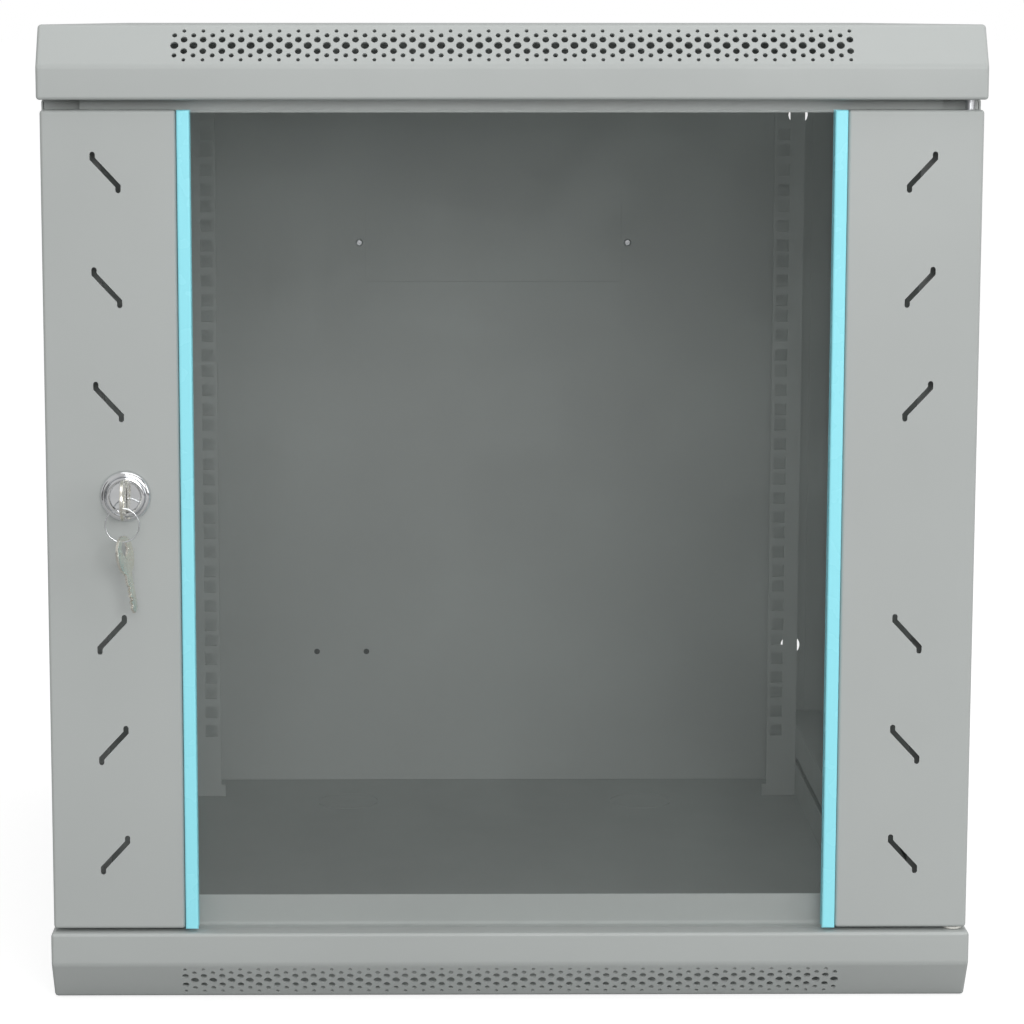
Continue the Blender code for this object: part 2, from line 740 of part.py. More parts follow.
def rail(side, face_y):
    """An upright angle with feet: its face has the square holes, its side bolts to the brackets."""
    outer = RAIL_HALF + RAIL_FACE
    low, high = FLOOR, CEILING
    foot, rise = RAIL_HALF - RAIL_FOOT, RAIL_FOOT_HEIGHT
    face = [
        (outer, low),
        (foot, low),
        (foot, low + rise),
        (RAIL_HALF, low + rise),
        (RAIL_HALF, high - rise),
        (foot, high - rise),
        (foot, high),
        (outer, high),
    ]
    plate = prism([(side * x, z) for x, z in face], "Y", face_y, face_y + RAIL_SHEET)
    web = box(
        (side * (outer - RAIL_SHEET), face_y + RAIL_SHEET / 2, low),
        (side * outer, face_y + RAIL_SIDE, high),
    )
    x = side * HOLE_SPACING / 2
    cutters = [
        prism(
            rectangle((x, z), (HOLE_SIZE, HOLE_SIZE)),
            "Y",
            face_y - RAIL_SHEET,
            face_y + 2 * RAIL_SHEET,
        )
        for z in hole_heights()
    ]
    for z in (RAIL_BOLT_HEIGHT, HEIGHT - RAIL_BOLT_HEIGHT):
        hole = circle((face_y + RAIL_BOLT_INSET, z), BOLT_RADIUS + BOLT_PLAY, 8)
        ends = (side * (outer - 2 * RAIL_SHEET), side * (outer + RAIL_SHEET))
        cutters.append(prism(hole, "X", min(ends), max(ends)))
    return cut(fused(plate, web), *cutters)


def rail_bolt(side, y, z):
    """A bolt through a rail's side and a bracket's slot, tightened with its nut."""
    head = RAIL_HALF + RAIL_FACE - RAIL_SHEET - GAP
    nut = BRACKET_WEB + SHEET + GAP
    profile = [
        (0, head - BOLT_HEAD_HEIGHT),
        (BOLT_HEAD_RADIUS, head - BOLT_HEAD_HEIGHT),
        (BOLT_HEAD_RADIUS, head),
        (BOLT_RADIUS, head),
        (BOLT_RADIUS, nut),
        (BOLT_HEAD_RADIUS, nut),
        (BOLT_HEAD_RADIUS, nut + BOLT_HEAD_HEIGHT),
        (0, nut + BOLT_HEAD_HEIGHT),
    ]
    return turned([(radius, side * x) for radius, x in profile], 6, "X", (0, y, z))


def add_rails():
    faces = {"front": FRONT + FRONT_RAIL_SETBACK, "rear": BACK - REAR_RAIL_SETBACK}
    for end, face_y in faces.items():
        place = (0, face_y, HEIGHT / 2)
        body = pivot_empty(f"{end}_rails", place)
        for name, side in SIDES.items():
            piece(f"rack_rail_{end}_{name}", rail(side, face_y), "painted_steel", place, body)
            for level, z in (("lower", RAIL_BOLT_HEIGHT), ("upper", HEIGHT - RAIL_BOLT_HEIGHT)):
                bolt = rail_bolt(side, face_y + RAIL_BOLT_INSET, z)
                piece(f"rail_bolt_{end}_{name}_{level}", bolt, "zinc_plated_steel", place, body)


# ---------------------------------------------------------------- side panels


def side_panel(side):
    """A flat panel between the covers' skirts, with short stiffening returns above and below."""
    plate = box(
        (side * PANEL_INNER, POST_FRONT, PANEL_LOW),
        (side * PANEL_OUTER, BACK - GAP, PANEL_HIGH),
    )
    reach = (
        POST_FRONT + POST_WEB + BRACKET_END_GAP,
        POST_REAR - POST_WEB - BRACKET_END_GAP,
    )
    returns = [
        box(
            (side * (PANEL_INNER - PANEL_RETURN), reach[0], z),
            (side * (PANEL_INNER + PANEL_SHEET / 2), reach[1], z + towards * PANEL_SHEET),
        )
        for z, towards in ((PANEL_LOW, 1), (PANEL_HIGH, -1))
    ]
    hole = circle((0, LATCH_Z), LATCH_RADIUS + GAP, 20)
    ends = sorted((side * (PANEL_INNER - SHEET), side * (PANEL_OUTER + SHEET)))
    return cut(fused(plate, *returns), prism(hole, "X", *ends))


def latch_housing(side):
    """A flush ring in the panel, held from behind by its flange."""
    face, back = PANEL_OUTER, PANEL_INNER - GAP
    bore = LATCH_PLUG_RADIUS + GAP
    profile = [
        (LATCH_RADIUS, face),
        (LATCH_RADIUS, back),
        (LATCH_FLANGE_RADIUS, back),
        (LATCH_FLANGE_RADIUS, back - SHEET),
        (bore, back - SHEET),
        (bore, face),
    ]
    return turned([(r, side * x) for r, x in profile], 20, "X", (0, 0, LATCH_Z))


def latch_cam_place():
    """(outer, inner) faces of the cam, inside the housing's flange."""
    outer = PANEL_INNER - PANEL_RETURN - 2 * GAP
    return outer, outer - LATCH_CAM[2]


def latch_plug(side):
    """The slotted plug and its cam, which points back at rest and up when it is locked."""
    outer, inner = latch_cam_place()
    profile = [
        (0, PANEL_OUTER),
        (LATCH_PLUG_RADIUS, PANEL_OUTER),
        (LATCH_PLUG_RADIUS, inner),
        (0, inner),
    ]
    plug = turned([(r, side * x) for r, x in profile], 16, "X", (0, 0, LATCH_Z))
    width, reach, _ = LATCH_CAM
    cam = box(
        (side * outer, -width / 2, LATCH_Z - width / 2),
        (side * inner, reach, LATCH_Z + width / 2),
    )
    slot = box(
        (side * (PANEL_OUTER - LATCH_SLOT[1]), -LATCH_PLUG_RADIUS, LATCH_Z - LATCH_SLOT[0] / 2),
        (side * (PANEL_OUTER + SHEET), LATCH_PLUG_RADIUS, LATCH_Z + LATCH_SLOT[0] / 2),
    )
    return cut(fused(plug, cam), slot)


def add_side_panels():
    for name, side in SIDES.items():
        place = (side * PANEL_INNER, 0, HEIGHT / 2)
        body = pivot_empty(f"{name}_side", place)
        piece(f"side_panel_{name}", side_panel(side), "painted_steel", place, body)
        piece(f"side_latch_housing_{name}", latch_housing(side), "chrome", place, body)
        axis = (side * PANEL_INNER, 0, LATCH_Z)
        piece(f"side_latch_{name}", latch_plug(side), "chrome", axis, body)


# ---------------------------------------------------------------- door


def slot_outline(x, z, lean):
    """A slanted slot with short upright ends. lean is 1 for / and -1 for \\."""
    half, rise, tail = SLOT_SPAN / 2, SLOT_RISE / 2, SLOT_TAIL
    line = [(-half, -rise - tail), (-half, -rise), (half, rise), (half, rise + tail)]
    wide = SLOT_WIDTH / 2
    right_side = folded(line, wide)[len(line) :][::-1][1:3]
    turns = [math.pi * i / 4 for i in range(5)]
    end = [(half + wide * math.cos(a), line[3][1] + wide * math.sin(a)) for a in turns]
    half_way = right_side + end
    outline = half_way + [(-a, -b) for a, b in half_way]
    return [(x + lean * a, z + b) for a, b in outline]


def stile_slots(side):
    """(x, z, lean) of each slot of a stile. The upper and lower groups slant towards each other."""
    if side < 0:
        upper_x = lower_x = -DOOR_HALF + LEFT_SLOT_INSET
    else:
        upper_x = DOOR_HALF - RIGHT_UPPER_SLOT_INSET
        lower_x = DOOR_HALF - RIGHT_LOWER_SLOT_INSET
    slots = []
    for i in range(SLOTS_IN_A_GROUP):
        slots.append((upper_x, DOOR_HIGH - UPPER_SLOT_DROP - i * SLOT_PITCH, side))
        slots.append((lower_x, DOOR_LOW + LOWER_SLOT_RISE + i * SLOT_PITCH, -side))
    return slots


def stile(side, holes):
    """A pan that is open at the back, with closed ends."""
    path = [
        (DOOR_HALF - STILE_RETURN, DOOR_BACK),
        (DOOR_HALF, DOOR_BACK),
        (DOOR_HALF, DOOR_FRONT),
        (STILE_INNER, DOOR_FRONT),
        (STILE_INNER, DOOR_BACK),
        (STILE_INNER + STILE_RETURN, DOOR_BACK),
    ]
    outline = [(side * x, y) for x, y in folded(path, PANEL_SHEET)]
    pan = prism(outline, "Z", DOOR_LOW, DOOR_HIGH)
    inner = PANEL_SHEET / 2
    ends = [
        box(
            (side * (STILE_INNER + inner), DOOR_FRONT + inner, z),
            (side * (DOOR_HALF - inner), DOOR_BACK - inner, z + towards * PANEL_SHEET),
        )
        for z, towards in ((DOOR_LOW, 1), (DOOR_HIGH, -1))
    ]
    low, high = DOOR_FRONT - SHEET, DOOR_FRONT + PANEL_SHEET + SHEET
    slots = [prism(slot_outline(*slot), "Y", low, high) for slot in stile_slots(side)]
    return cut(fused(pan, *ends), *slots, *holes)


def trim(side):
    """An extruded strip between stile and glass, with a groove that holds the glass's edge."""
    front = DOOR_FRONT - TRIM_PROUD
    back = GLASS_BACK + GAP + TRIM_BACK_WALL
    groove = TRIM_OUTER - TRIM_BASE
    outline = [
        (TRIM_OUTER, back),
        (TRIM_OUTER, front + TRIM_EDGE),
        (TRIM_OUTER - TRIM_EDGE, front),
        (TRIM_INNER + TRIM_EDGE, front),
        (TRIM_INNER, front + TRIM_EDGE),
        (TRIM_INNER, GLASS_FRONT - GAP),
        (groove, GLASS_FRONT - GAP),
        (groove, GLASS_BACK + GAP),
        (TRIM_INNER, GLASS_BACK + GAP),
        (TRIM_INNER, back),
    ]
    return prism([(side * x, y) for x, y in outline], "Z", DOOR_LOW, DOOR_HIGH)


def hinge_hole(z, radius):
    return prism(circle((HINGE_X, HINGE_Y), radius, 16), "Z", z - 3 * SHEET, z + 3 * SHEET)


def lock_hole():
    return prism(
        circle((LOCK_X, LOCK_Z), LOCK_BODY_RADIUS + 2 * GAP, 24),
        "Y",
        DOOR_FRONT - SHEET,
        DOOR_FRONT + 2 * SHEET,
    )


def add_door():
    axis = (HINGE_X, HINGE_Y, DOOR_LOW)
    body = pivot_empty("door", axis)
    lock_stile = stile(-1, [lock_hole()])
    pin_hole = PIN_RADIUS + PIN_CLEARANCE + BUSH_WALL + GAP
    hinge_stile = stile(
        1,
        [hinge_hole(DOOR_LOW, pin_hole), hinge_hole(DOOR_HIGH, PIN_RADIUS + PIN_HOLE_CLEARANCE)],
    )
    piece("door_lock_stile", lock_stile, "painted_steel", axis, body)
    piece("door_hinge_stile", hinge_stile, "painted_steel", axis, body)
    glass = box((-GLASS_HALF, GLASS_FRONT, DOOR_LOW), (GLASS_HALF, GLASS_BACK, DOOR_HIGH))
    piece("door_glass", glass, "toughened_glass", axis, body)
    for name, side in SIDES.items():
        piece(f"glass_trim_{name}", trim(side), "blue_trim", axis, body)
    return body, axis


# ---------------------------------------------------------------- door hinge


def hinge_block_box():
    """Low and high corners, in X and Y, of the blocks inside the hinge stile."""
    wall = PANEL_SHEET + GAP
    reach = HINGE_INSET - wall
    return (HINGE_X - reach, HINGE_Y - reach), (HINGE_X + reach, DOOR_BACK - wall)


def lower_hinge_pieces():
    """The fixed pin with its riveted head, the thrust washer, and in the door the bush and block."""
    centre = (HINGE_X, HINGE_Y, 0)
    under = CAP - SHEET - GAP
    head_radius, head_height = LOWER_PIN_HEAD
    pin_top = DOOR_LOW + LOWER_PIN_REACH
    pin = turned(
        [
            (0, under - head_height),
            (head_radius, under - head_height),
            (head_radius, under),
            (PIN_RADIUS, under),
            (PIN_RADIUS, pin_top - PIN_TIP),
            (PIN_RADIUS - PIN_TIP, pin_top),
            (0, pin_top),
        ],
        16,
        "Z",
        centre,
    )
    bore = PIN_RADIUS + PIN_CLEARANCE
    washer_low, washer_high = CAP + GAP, DOOR_LOW - GAP
    washer = turned(
        [
            (bore, washer_low),
            (THRUST_WASHER_RADIUS, washer_low),
            (THRUST_WASHER_RADIUS, washer_high),
            (bore, washer_high),
        ],
        16,
        "Z",
        centre,
    )
    block_low = DOOR_LOW + PANEL_SHEET + GAP
    block_high = block_low + HINGE_BLOCK_HEIGHT
    bush_outer, collar = bore + BUSH_WALL, block_high + GAP
    bush = turned(
        [
            (bore, DOOR_LOW),
            (bush_outer, DOOR_LOW),
            (bush_outer, collar),
            (bush_outer + BUSH_COLLAR[0], collar),
            (bush_outer + BUSH_COLLAR[0], collar + BUSH_COLLAR[1]),
            (bore, collar + BUSH_COLLAR[1]),
        ],
        16,
        "Z",
        centre,
    )
    low, high = hinge_block_box()
    hole = prism(
        circle(centre[:2], bush_outer + GAP, 16), "Z", block_low - SHEET, block_high + SHEET
    )
    block = cut(box((*low, block_low), (*high, block_high)), hole)
    return pin, washer, bush, block


def upper_bracket_levels():
    """Under sides of the upper ear and of the lower ear of the spring pin's bracket."""
    top = DOOR_HIGH - UPPER_BRACKET_DROP
    return top - EAR_THICKNESS, top - UPPER_BRACKET_LENGTH


def upper_hinge_bracket():
    """A U-shaped bracket on the stile's outer wall, whose two ears guide the spring pin."""
    low, high = hinge_block_box()
    upper, lower = upper_bracket_levels()
    web = box((high[0] - EAR_THICKNESS, low[1], lower), (high[0], high[1], upper + EAR_THICKNESS))
    ears = [box((*low, z), (high[0] - GAP, high[1], z + EAR_THICKNESS)) for z in (upper, lower)]
    bore = circle((HINGE_X, HINGE_Y), PIN_RADIUS + PIN_CLEARANCE, 16)
    return cut(fused(web, *ears), prism(bore, "Z", lower - SHEET, upper + 2 * SHEET))


def collar_low():
    """Where the pin's collar starts: it rests against the upper ear, pushed by the spring."""
    return upper_bracket_levels()[0] - GAP - PIN_COLLAR_HEIGHT


def upper_hinge_pin():
    """The spring pin: round end, collar, and a finger lever bent from its lower end."""
    top = DOOR_HIGH + UPPER_PIN_REACH
    bottom = top - UPPER_PIN_LENGTH - UPPER_PIN_TRAVEL
    collar = collar_low()
    shaft = turned(
        [
            (0, bottom),
            (PIN_RADIUS, bottom),
            (PIN_RADIUS, collar),
            (PIN_COLLAR_RADIUS, collar),
            (PIN_COLLAR_RADIUS, collar + PIN_COLLAR_HEIGHT),
            (PIN_RADIUS, collar + PIN_COLLAR_HEIGHT),
            (PIN_RADIUS, top - PIN_TIP),
            (PIN_RADIUS - PIN_TIP, top),
            (0, top),
        ],
        16,
        "Z",
        (HINGE_X, HINGE_Y, 0),
    )
    reach, width, thickness = PIN_LEVER
    low = bottom + GAP
    arm = box(
        (HINGE_X - reach, HINGE_Y - width / 2, low),
        (HINGE_X, HINGE_Y + width / 2, low + thickness),
    )
    tab = box(
        (HINGE_X - reach, HINGE_Y - width / 2, low + GAP),
        (HINGE_X - reach + PIN_TAB, DOOR_BACK + PIN_TAB_PROUD, low + thickness - GAP),
    )
    return fused(shaft, arm, tab)


def hinge_spring():
    """A coil round the pin, between the lower ear and the collar."""
    low = upper_bracket_levels()[1] + EAR_THICKNESS + GAP + SPRING_WIRE / 2
    high = collar_low() - GAP - SPRING_WIRE / 2
    steps, sides = 10 * SPRING_TURNS, 5
    shape = bmesh.new()
    rings = []
    for i in range(steps + 1):
        angle, z = math.tau * SPRING_TURNS * i / steps, low + (high - low) * i / steps
        out = Vector((math.cos(angle), math.sin(angle), 0))
        middle = Vector((HINGE_X, HINGE_Y, z)) + out * SPRING_RADIUS
        ring = []
        for k in range(sides):
            turn = math.tau * k / sides
            offset = out * math.cos(turn) + Vector((0, 0, math.sin(turn)))
            ring.append(shape.verts.new(middle + offset * SPRING_WIRE / 2))
        rings.append(ring)
    for first, second in zip(rings, rings[1:]):
        for k in range(sides):
            shape.faces.new((first[k - 1], first[k], second[k], second[k - 1]))
    shape.faces.new(rings[0])
    shape.faces.new(rings[-1])
    return mesh_of(shape)


def add_hinges(door, axis):
    pin, washer, bush, block = lower_hinge_pieces()
    piece("lower_hinge_pin", pin, "zinc_plated_steel")
    piece("lower_hinge_washer", washer, "nylon")
    piece("lower_hinge_bush", bush, "nylon", axis, door)
    piece("lower_hinge_block", block, "zinc_plated_steel", axis, door)
    piece("upper_hinge_bracket", upper_hinge_bracket(), "zinc_plated_steel", axis, door)
    place = (HINGE_X, HINGE_Y, collar_low())
    piece("upper_hinge_pin", upper_hinge_pin(), "zinc_plated_steel", place, door)
    piece("upper_hinge_spring", hinge_spring(), "spring_steel", place, door)


# ---------------------------------------------------------------- lock


def lock_housing():
    """Domed bezel, inner ring and threaded barrel, bored for the plug."""
    bore = PLUG_RADIUS + GAP
    recess = PLUG_FACE_RADIUS + GAP
    face = DOOR_FRONT - LOCK_PROUD
    shoulder = PLUG_FRONT + PLUG_FACE_DEPTH + GAP
    profile = [
        (bore, LOCK_BACK),
        (bore, shoulder),
        (recess, shoulder),
        (recess, face),
        (LOCK_RING_RADIUS - 0.0006, face),
        (LOCK_RING_RADIUS, face + 0.0012),
        (LOCK_RING_RADIUS + 0.0012, face + 0.0004),
        (LOCK_BEZEL_RADIUS - 0.0014, face + 0.0014),
        (LOCK_BEZEL_RADIUS, face + 0.0030),
        (LOCK_BEZEL_RADIUS, DOOR_FRONT - GAP),
        (LOCK_BODY_RADIUS, DOOR_FRONT - GAP),
        (LOCK_BODY_RADIUS, LOCK_BACK),
    ]
    return turned(profile, 24, "Y", LOCK_CENTRE)


def lock_nut():
    low = DOOR_FRONT + PANEL_SHEET + GAP
    high = low + LOCK_NUT_HEIGHT
    body = prism(circle((LOCK_X, LOCK_Z), LOCK_BEZEL_RADIUS, 6), "Y", low, high)
    bore = circle((LOCK_X, LOCK_Z), LOCK_BODY_RADIUS + GAP, 24)
    return cut(body, prism(bore, "Y", low - SHEET, high + SHEET))


def lock_plug():
    """The turning plug: round face with the keyway, barrel, and a square drive for the cam."""
    profile = [
        (0, PLUG_FRONT),
        (PLUG_FACE_RADIUS, PLUG_FRONT),
        (PLUG_FACE_RADIUS, PLUG_FRONT + PLUG_FACE_DEPTH),
        (PLUG_RADIUS, PLUG_FRONT + PLUG_FACE_DEPTH),
        (PLUG_RADIUS, LOCK_BACK),
        (0, LOCK_BACK),
    ]
    half = CAM_SQUARE / 2
    drive = box(
        (LOCK_X - half, LOCK_BACK - 0.001, LOCK_Z - half),
        (LOCK_X + half, CAM_FRONT + CAM_THICKNESS, LOCK_Z + half),
    )
    keyway = box(
        (LOCK_X - KEYWAY[0] / 2, PLUG_FRONT - SHEET, LOCK_Z - KEYWAY[1] / 2),
        (LOCK_X + KEYWAY[0] / 2, PLUG_FRONT + KEYWAY[2], LOCK_Z + KEYWAY[1] / 2),
    )
    barrel = turned(profile, 24, "Y", LOCK_CENTRE)
    return cut(fused(barrel, drive), keyway)


def cam_outline():
    """Round at the lock, with a blunt end that hangs down when the door is unlocked."""
    half, low = CAM_WIDTH / 2, LOCK_Z - CAM_REACH
    turns = [math.pi * i / 8 for i in range(9)]
    over = [(LOCK_X + half * math.cos(a), LOCK_Z + half * math.sin(a)) for a in turns]
    end = [(-half, low + half / 2), (-half / 2, low), (half / 2, low), (half, low + half / 2)]
    return over + [(LOCK_X + x, z) for x, z in end]


def lock_cam():
    plate = prism(cam_outline(), "Y", CAM_FRONT, CAM_FRONT + CAM_THICKNESS)
    square = rectangle((LOCK_X, LOCK_Z), (CAM_SQUARE, CAM_SQUARE), GAP)
    ends = (CAM_FRONT - SHEET, CAM_FRONT + CAM_THICKNESS + SHEET)
    return cut(plate, prism(square, "Y", *ends))


def cam_screw():
    """The screw's head and washer face, against the drive's end."""
    seat = CAM_FRONT + CAM_THICKNESS + GAP
    (washer_radius, washer), (head_radius, head) = CAM_SCREW
    top = seat + washer + head
    profile = [
        (0, seat),
        (washer_radius, seat),
        (washer_radius, seat + washer),
        (head_radius, top),
        (0, top),
    ]
    return turned(profile, 12, "Y", LOCK_CENTRE)


def lock_keeper():
    """The strike on the lock side's post, which the cam turns behind."""
    start = POST_FRONT + SHEET + GAP
    outer, half = INSIDE - SHEET - KEEPER_BEND, KEEPER_HEIGHT / 2
    path = [(-(INSIDE - POST_FLANGE), start), (-outer, start), (-outer, start + KEEPER_DEPTH)]
    return prism(folded(path, SHEET), "Z", LOCK_Z - half, LOCK_Z + half)


def add_lock(door, axis):
    piece("lock_housing", lock_housing(), "chrome", axis, door)
    piece("lock_nut", lock_nut(), "zinc_plated_steel", axis, door)
    piece("lock_keeper", lock_keeper(), "zinc_plated_steel")
    turn = (LOCK_X, PLUG_FRONT, LOCK_Z)
    plug = pivot_empty("lock_turn", turn, door)
    piece("lock_plug", lock_plug(), "chrome", turn, plug)
    piece("lock_cam", lock_cam(), "zinc_plated_steel", turn, plug)
    piece("cam_screw", cam_screw(), "zinc_plated_steel", turn, plug)
    return plug


# ---------------------------------------------------------------- keys


def key_shape():
    """A flat key. Its blade starts at the origin and runs along +Y, its width is along Z."""
    across, along = KEY_BOW
    blade_width, blade_length = KEY_BLADE
    half, blade = across / 2, blade_width / 2
    bow_middle = -KEY_NECK - along / 2
    steps = 20
    start = math.asin(blade / half)
    arc = [start + (math.tau - 2 * start) * i / steps for i in range(steps + 1)]
    bow = [(bow_middle + along / 2 * math.cos(a), half * math.sin(a)) for a in arc]
    first, last = KEY_TEETH_REACH
    step = (last - first) / KEY_TEETH
    cuts = []
    for i in range(KEY_TEETH):
        y, depth = first + i * step, blade * KEY_CUTS[i % 2]
        cuts += [(y, -blade), (y + step * 0.4, -blade + depth), (y + step * 0.7, -blade + depth)]
    tip = [(blade_length, -blade * 0.3), (blade_length - blade / 2, blade)]
    cuts.append((last, -blade))
    outline = bow + cuts + tip
    plate = prism(outline, "X", -KEY_THICKNESS / 2, KEY_THICKNESS / 2)
    hole = circle((key_hole_place(), 0), KEY_HOLE_RADIUS, 16)
    return cut(plate, prism(hole, "X", -KEY_THICKNESS, KEY_THICKNESS))


def key_hole_place():
    """The middle of the bow's hole, measured along the key from where its blade starts."""
    return -KEY_NECK - KEY_BOW[1] + KEY_HOLE_EDGE + KEY_HOLE_RADIUS


KEY_START = Vector((LOCK_X, PLUG_FRONT - GAP, LOCK_Z))
HANG = KEY_HOLE_RADIUS - RING_WIRE - GAP  # from a hole's middle to the wire that bears on it
RING_TOP = KEY_START + Vector((0, key_hole_place(), -HANG))
RING_MIDDLE = RING_TOP - Vector((0, 0, RING_RADIUS))
RING_BOTTOM = RING_TOP - Vector((0, 0, 2 * RING_RADIUS))


def key_ring():
    """A wire ring that hangs in the key's hole, facing the front."""
    around, sides = 28, 6
    shape = bmesh.new()
    rings = []
    for i in range(around):
        angle = math.tau * i / around
        out = Vector((math.cos(angle), 0, math.sin(angle)))
        ring = []
        for k in range(sides):
            turn = math.tau * k / sides
            offset = out * math.cos(turn) + Vector((0, math.sin(turn), 0))
            ring.append(shape.verts.new(RING_MIDDLE + out * RING_RADIUS + offset * RING_WIRE))
        rings.append(ring)
    for i in range(around):
        first, second = rings[i - 1], rings[i]
        for k in range(sides):
            shape.faces.new((first[k - 1], first[k], second[k], second[k - 1]))
    return mesh_of(shape)


def spare_key():
    """The second key, hanging blade down from the ring and leaning a little to the right."""
    hole = Matrix.Translation((0, -key_hole_place(), 0))
    blade_down = Matrix.Rotation(-math.pi / 2, 4, "X")
    turned_a_little = Matrix.Rotation(SPARE_KEY_TURN, 4, "Z")
    lean = Matrix.Rotation(-SPARE_KEY_LEAN, 4, "Y")
    drop = Matrix.Translation((0, 0, -HANG))
    place = Matrix.Translation(RING_BOTTOM)
    return moved(key_shape(), place @ lean @ turned_a_little @ drop @ blade_down @ hole)


def add_keys(plug):
    withdraw = pivot_empty("key_in_lock", KEY_START, plug)
    key = moved(key_shape(), Matrix.Translation(KEY_START))
    piece("door_key", key, "nickel_silver", KEY_START, withdraw)
    ring = pivot_empty("ring_swing", RING_TOP, withdraw)
    piece("key_ring", key_ring(), "spring_steel", RING_TOP, ring)
    spare = pivot_empty("spare_key_swing", RING_BOTTOM, ring)
    piece("spare_key", spare_key(), "nickel_silver", RING_BOTTOM, spare)


# ---------------------------------------------------------------- small fittings

def add_door_buffers():
    """Two rubber pads on the lock side's post that the closed door rests against."""
    x = -(DOOR_HALF - STILE_RETURN / 2)
    back, front = POST_FRONT - GAP, DOOR_BACK + GAP
    profile = [
        (0, back),
        (BUFFER_RADIUS, back),
        (BUFFER_RADIUS, front + BUFFER_DOME),
        (BUFFER_RADIUS * 0.75, front),
        (0, front),
    ]
    for level, z in (("lower", DOOR_LOW + BUFFER_DROP), ("upper", DOOR_HIGH - BUFFER_DROP)):
        piece(f"door_buffer_{level}", turned(profile, 12, "Y", (x, 0, z)), "rubber")


def main():
    for old in list(bpy.data.objects):
        bpy.data.objects.remove(old)
    add_covers()
    add_frame()
    add_earth_stud()
    add_rear_panel()
    add_rails()
    add_side_panels()
    door, axis = add_door()
    add_hinges(door, axis)
    plug = add_lock(door, axis)
    add_keys(plug)
    add_door_buffers()


main()
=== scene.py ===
"""Finished pieces of a wall-mount network rack cabinet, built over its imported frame."""

import math

import bmesh
import bpy
from mathutils import Matrix, Vector


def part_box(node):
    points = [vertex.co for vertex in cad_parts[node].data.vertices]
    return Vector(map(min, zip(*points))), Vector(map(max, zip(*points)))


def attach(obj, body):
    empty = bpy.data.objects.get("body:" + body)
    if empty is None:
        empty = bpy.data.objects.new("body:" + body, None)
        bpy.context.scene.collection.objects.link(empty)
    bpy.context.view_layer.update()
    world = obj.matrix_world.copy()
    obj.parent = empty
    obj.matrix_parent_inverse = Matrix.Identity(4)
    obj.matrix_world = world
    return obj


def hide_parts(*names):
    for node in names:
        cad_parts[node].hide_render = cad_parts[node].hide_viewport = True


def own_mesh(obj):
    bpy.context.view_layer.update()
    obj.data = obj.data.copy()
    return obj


bl_info = {
    "name": "Network Rack Cabinet",
    "version": (1, 0, 0),
    "blender": (4, 5, 0),
    "location": "3D View > Sidebar > Rack",
    "description": "Builds the sheet-metal, glass, lock and fittings of a 19-inch wall cabinet",
    "category": "Add Mesh",
}

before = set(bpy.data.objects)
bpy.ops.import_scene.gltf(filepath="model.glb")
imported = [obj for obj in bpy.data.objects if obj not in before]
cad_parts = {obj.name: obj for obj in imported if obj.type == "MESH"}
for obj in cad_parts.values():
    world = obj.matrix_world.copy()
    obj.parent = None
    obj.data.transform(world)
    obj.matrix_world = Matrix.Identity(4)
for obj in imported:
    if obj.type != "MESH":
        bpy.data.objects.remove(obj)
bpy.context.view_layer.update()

LOWER_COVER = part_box("bottom_cover")
UPPER_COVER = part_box("top_cover")
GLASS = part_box("door_glass")
LOCK_CENTRE = sum(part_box("lock_housing"), Vector()) / 2
LOCK_CENTRE.y = 0
DOOR_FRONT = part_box("door_lock_stile")[0].y
HINGE_CENTRE = sum(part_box("lower_hinge_pin"), Vector()) / 2
HINGE_CENTRE.z = 0
SIDES = {"left": -1, "right": 1}

PIN_HOLE_RADIUS = 0.0036
KNOCKOUT_RADIUS = 0.0245
KNOCKOUT_OUT = 0.12  # from the middle of the cover
KNOCKOUT_IN = 0.075  # from its rear edge
OUTER_VENT = 0.0073  # these three are distances from the middle of the vented edge
PAIR_VENT = 0.0042
END_VENT = 0.0105
SHADE_PLUG_PLACES = ((-0.1475, 0.112), (-0.106, 0.112))  # X and Z of the rear panel's small holes, filled with black plugs as painted shade: the dark that is seen through them
RING_RADIUS = 0.0108
RING_WIRE_RADIUS = 0.00045

# Name, place, size and power of each lamp, and name, place and size of each dark card
LAMPS = (
    ("front_light", (0.5, -3.5, 1.3), (2.0, 1.2), 43),
    ("right_light", (2.7, -2.0, 1.2), (1.4, 1.8), 13),
    ("top_light", (0.4, -0.6, 2.7), (2.6, 1.8), 20),
)
CARDS = (
    ("flag_left", (-1.3, -1.0, 0.4), (0.5, 1.0)),
    ("flag_right", (0.75, -1.1, 1.0), (0.45, 0.6)),
)
FLOOR_GLOW = 0.75
ROOM_LIGHT = 0.56
CAMERA_PLACE = (-0.0516, -2.2696, 0.6394)
CAMERA_TURN = (math.pi / 2 - 0.1386, 0, -0.0068)
CAMERA_LENS = 109.43
CAMERA_SHIFT = (0.0586, -0.0590)

# ---------------------------------------------------------------- what a user may change


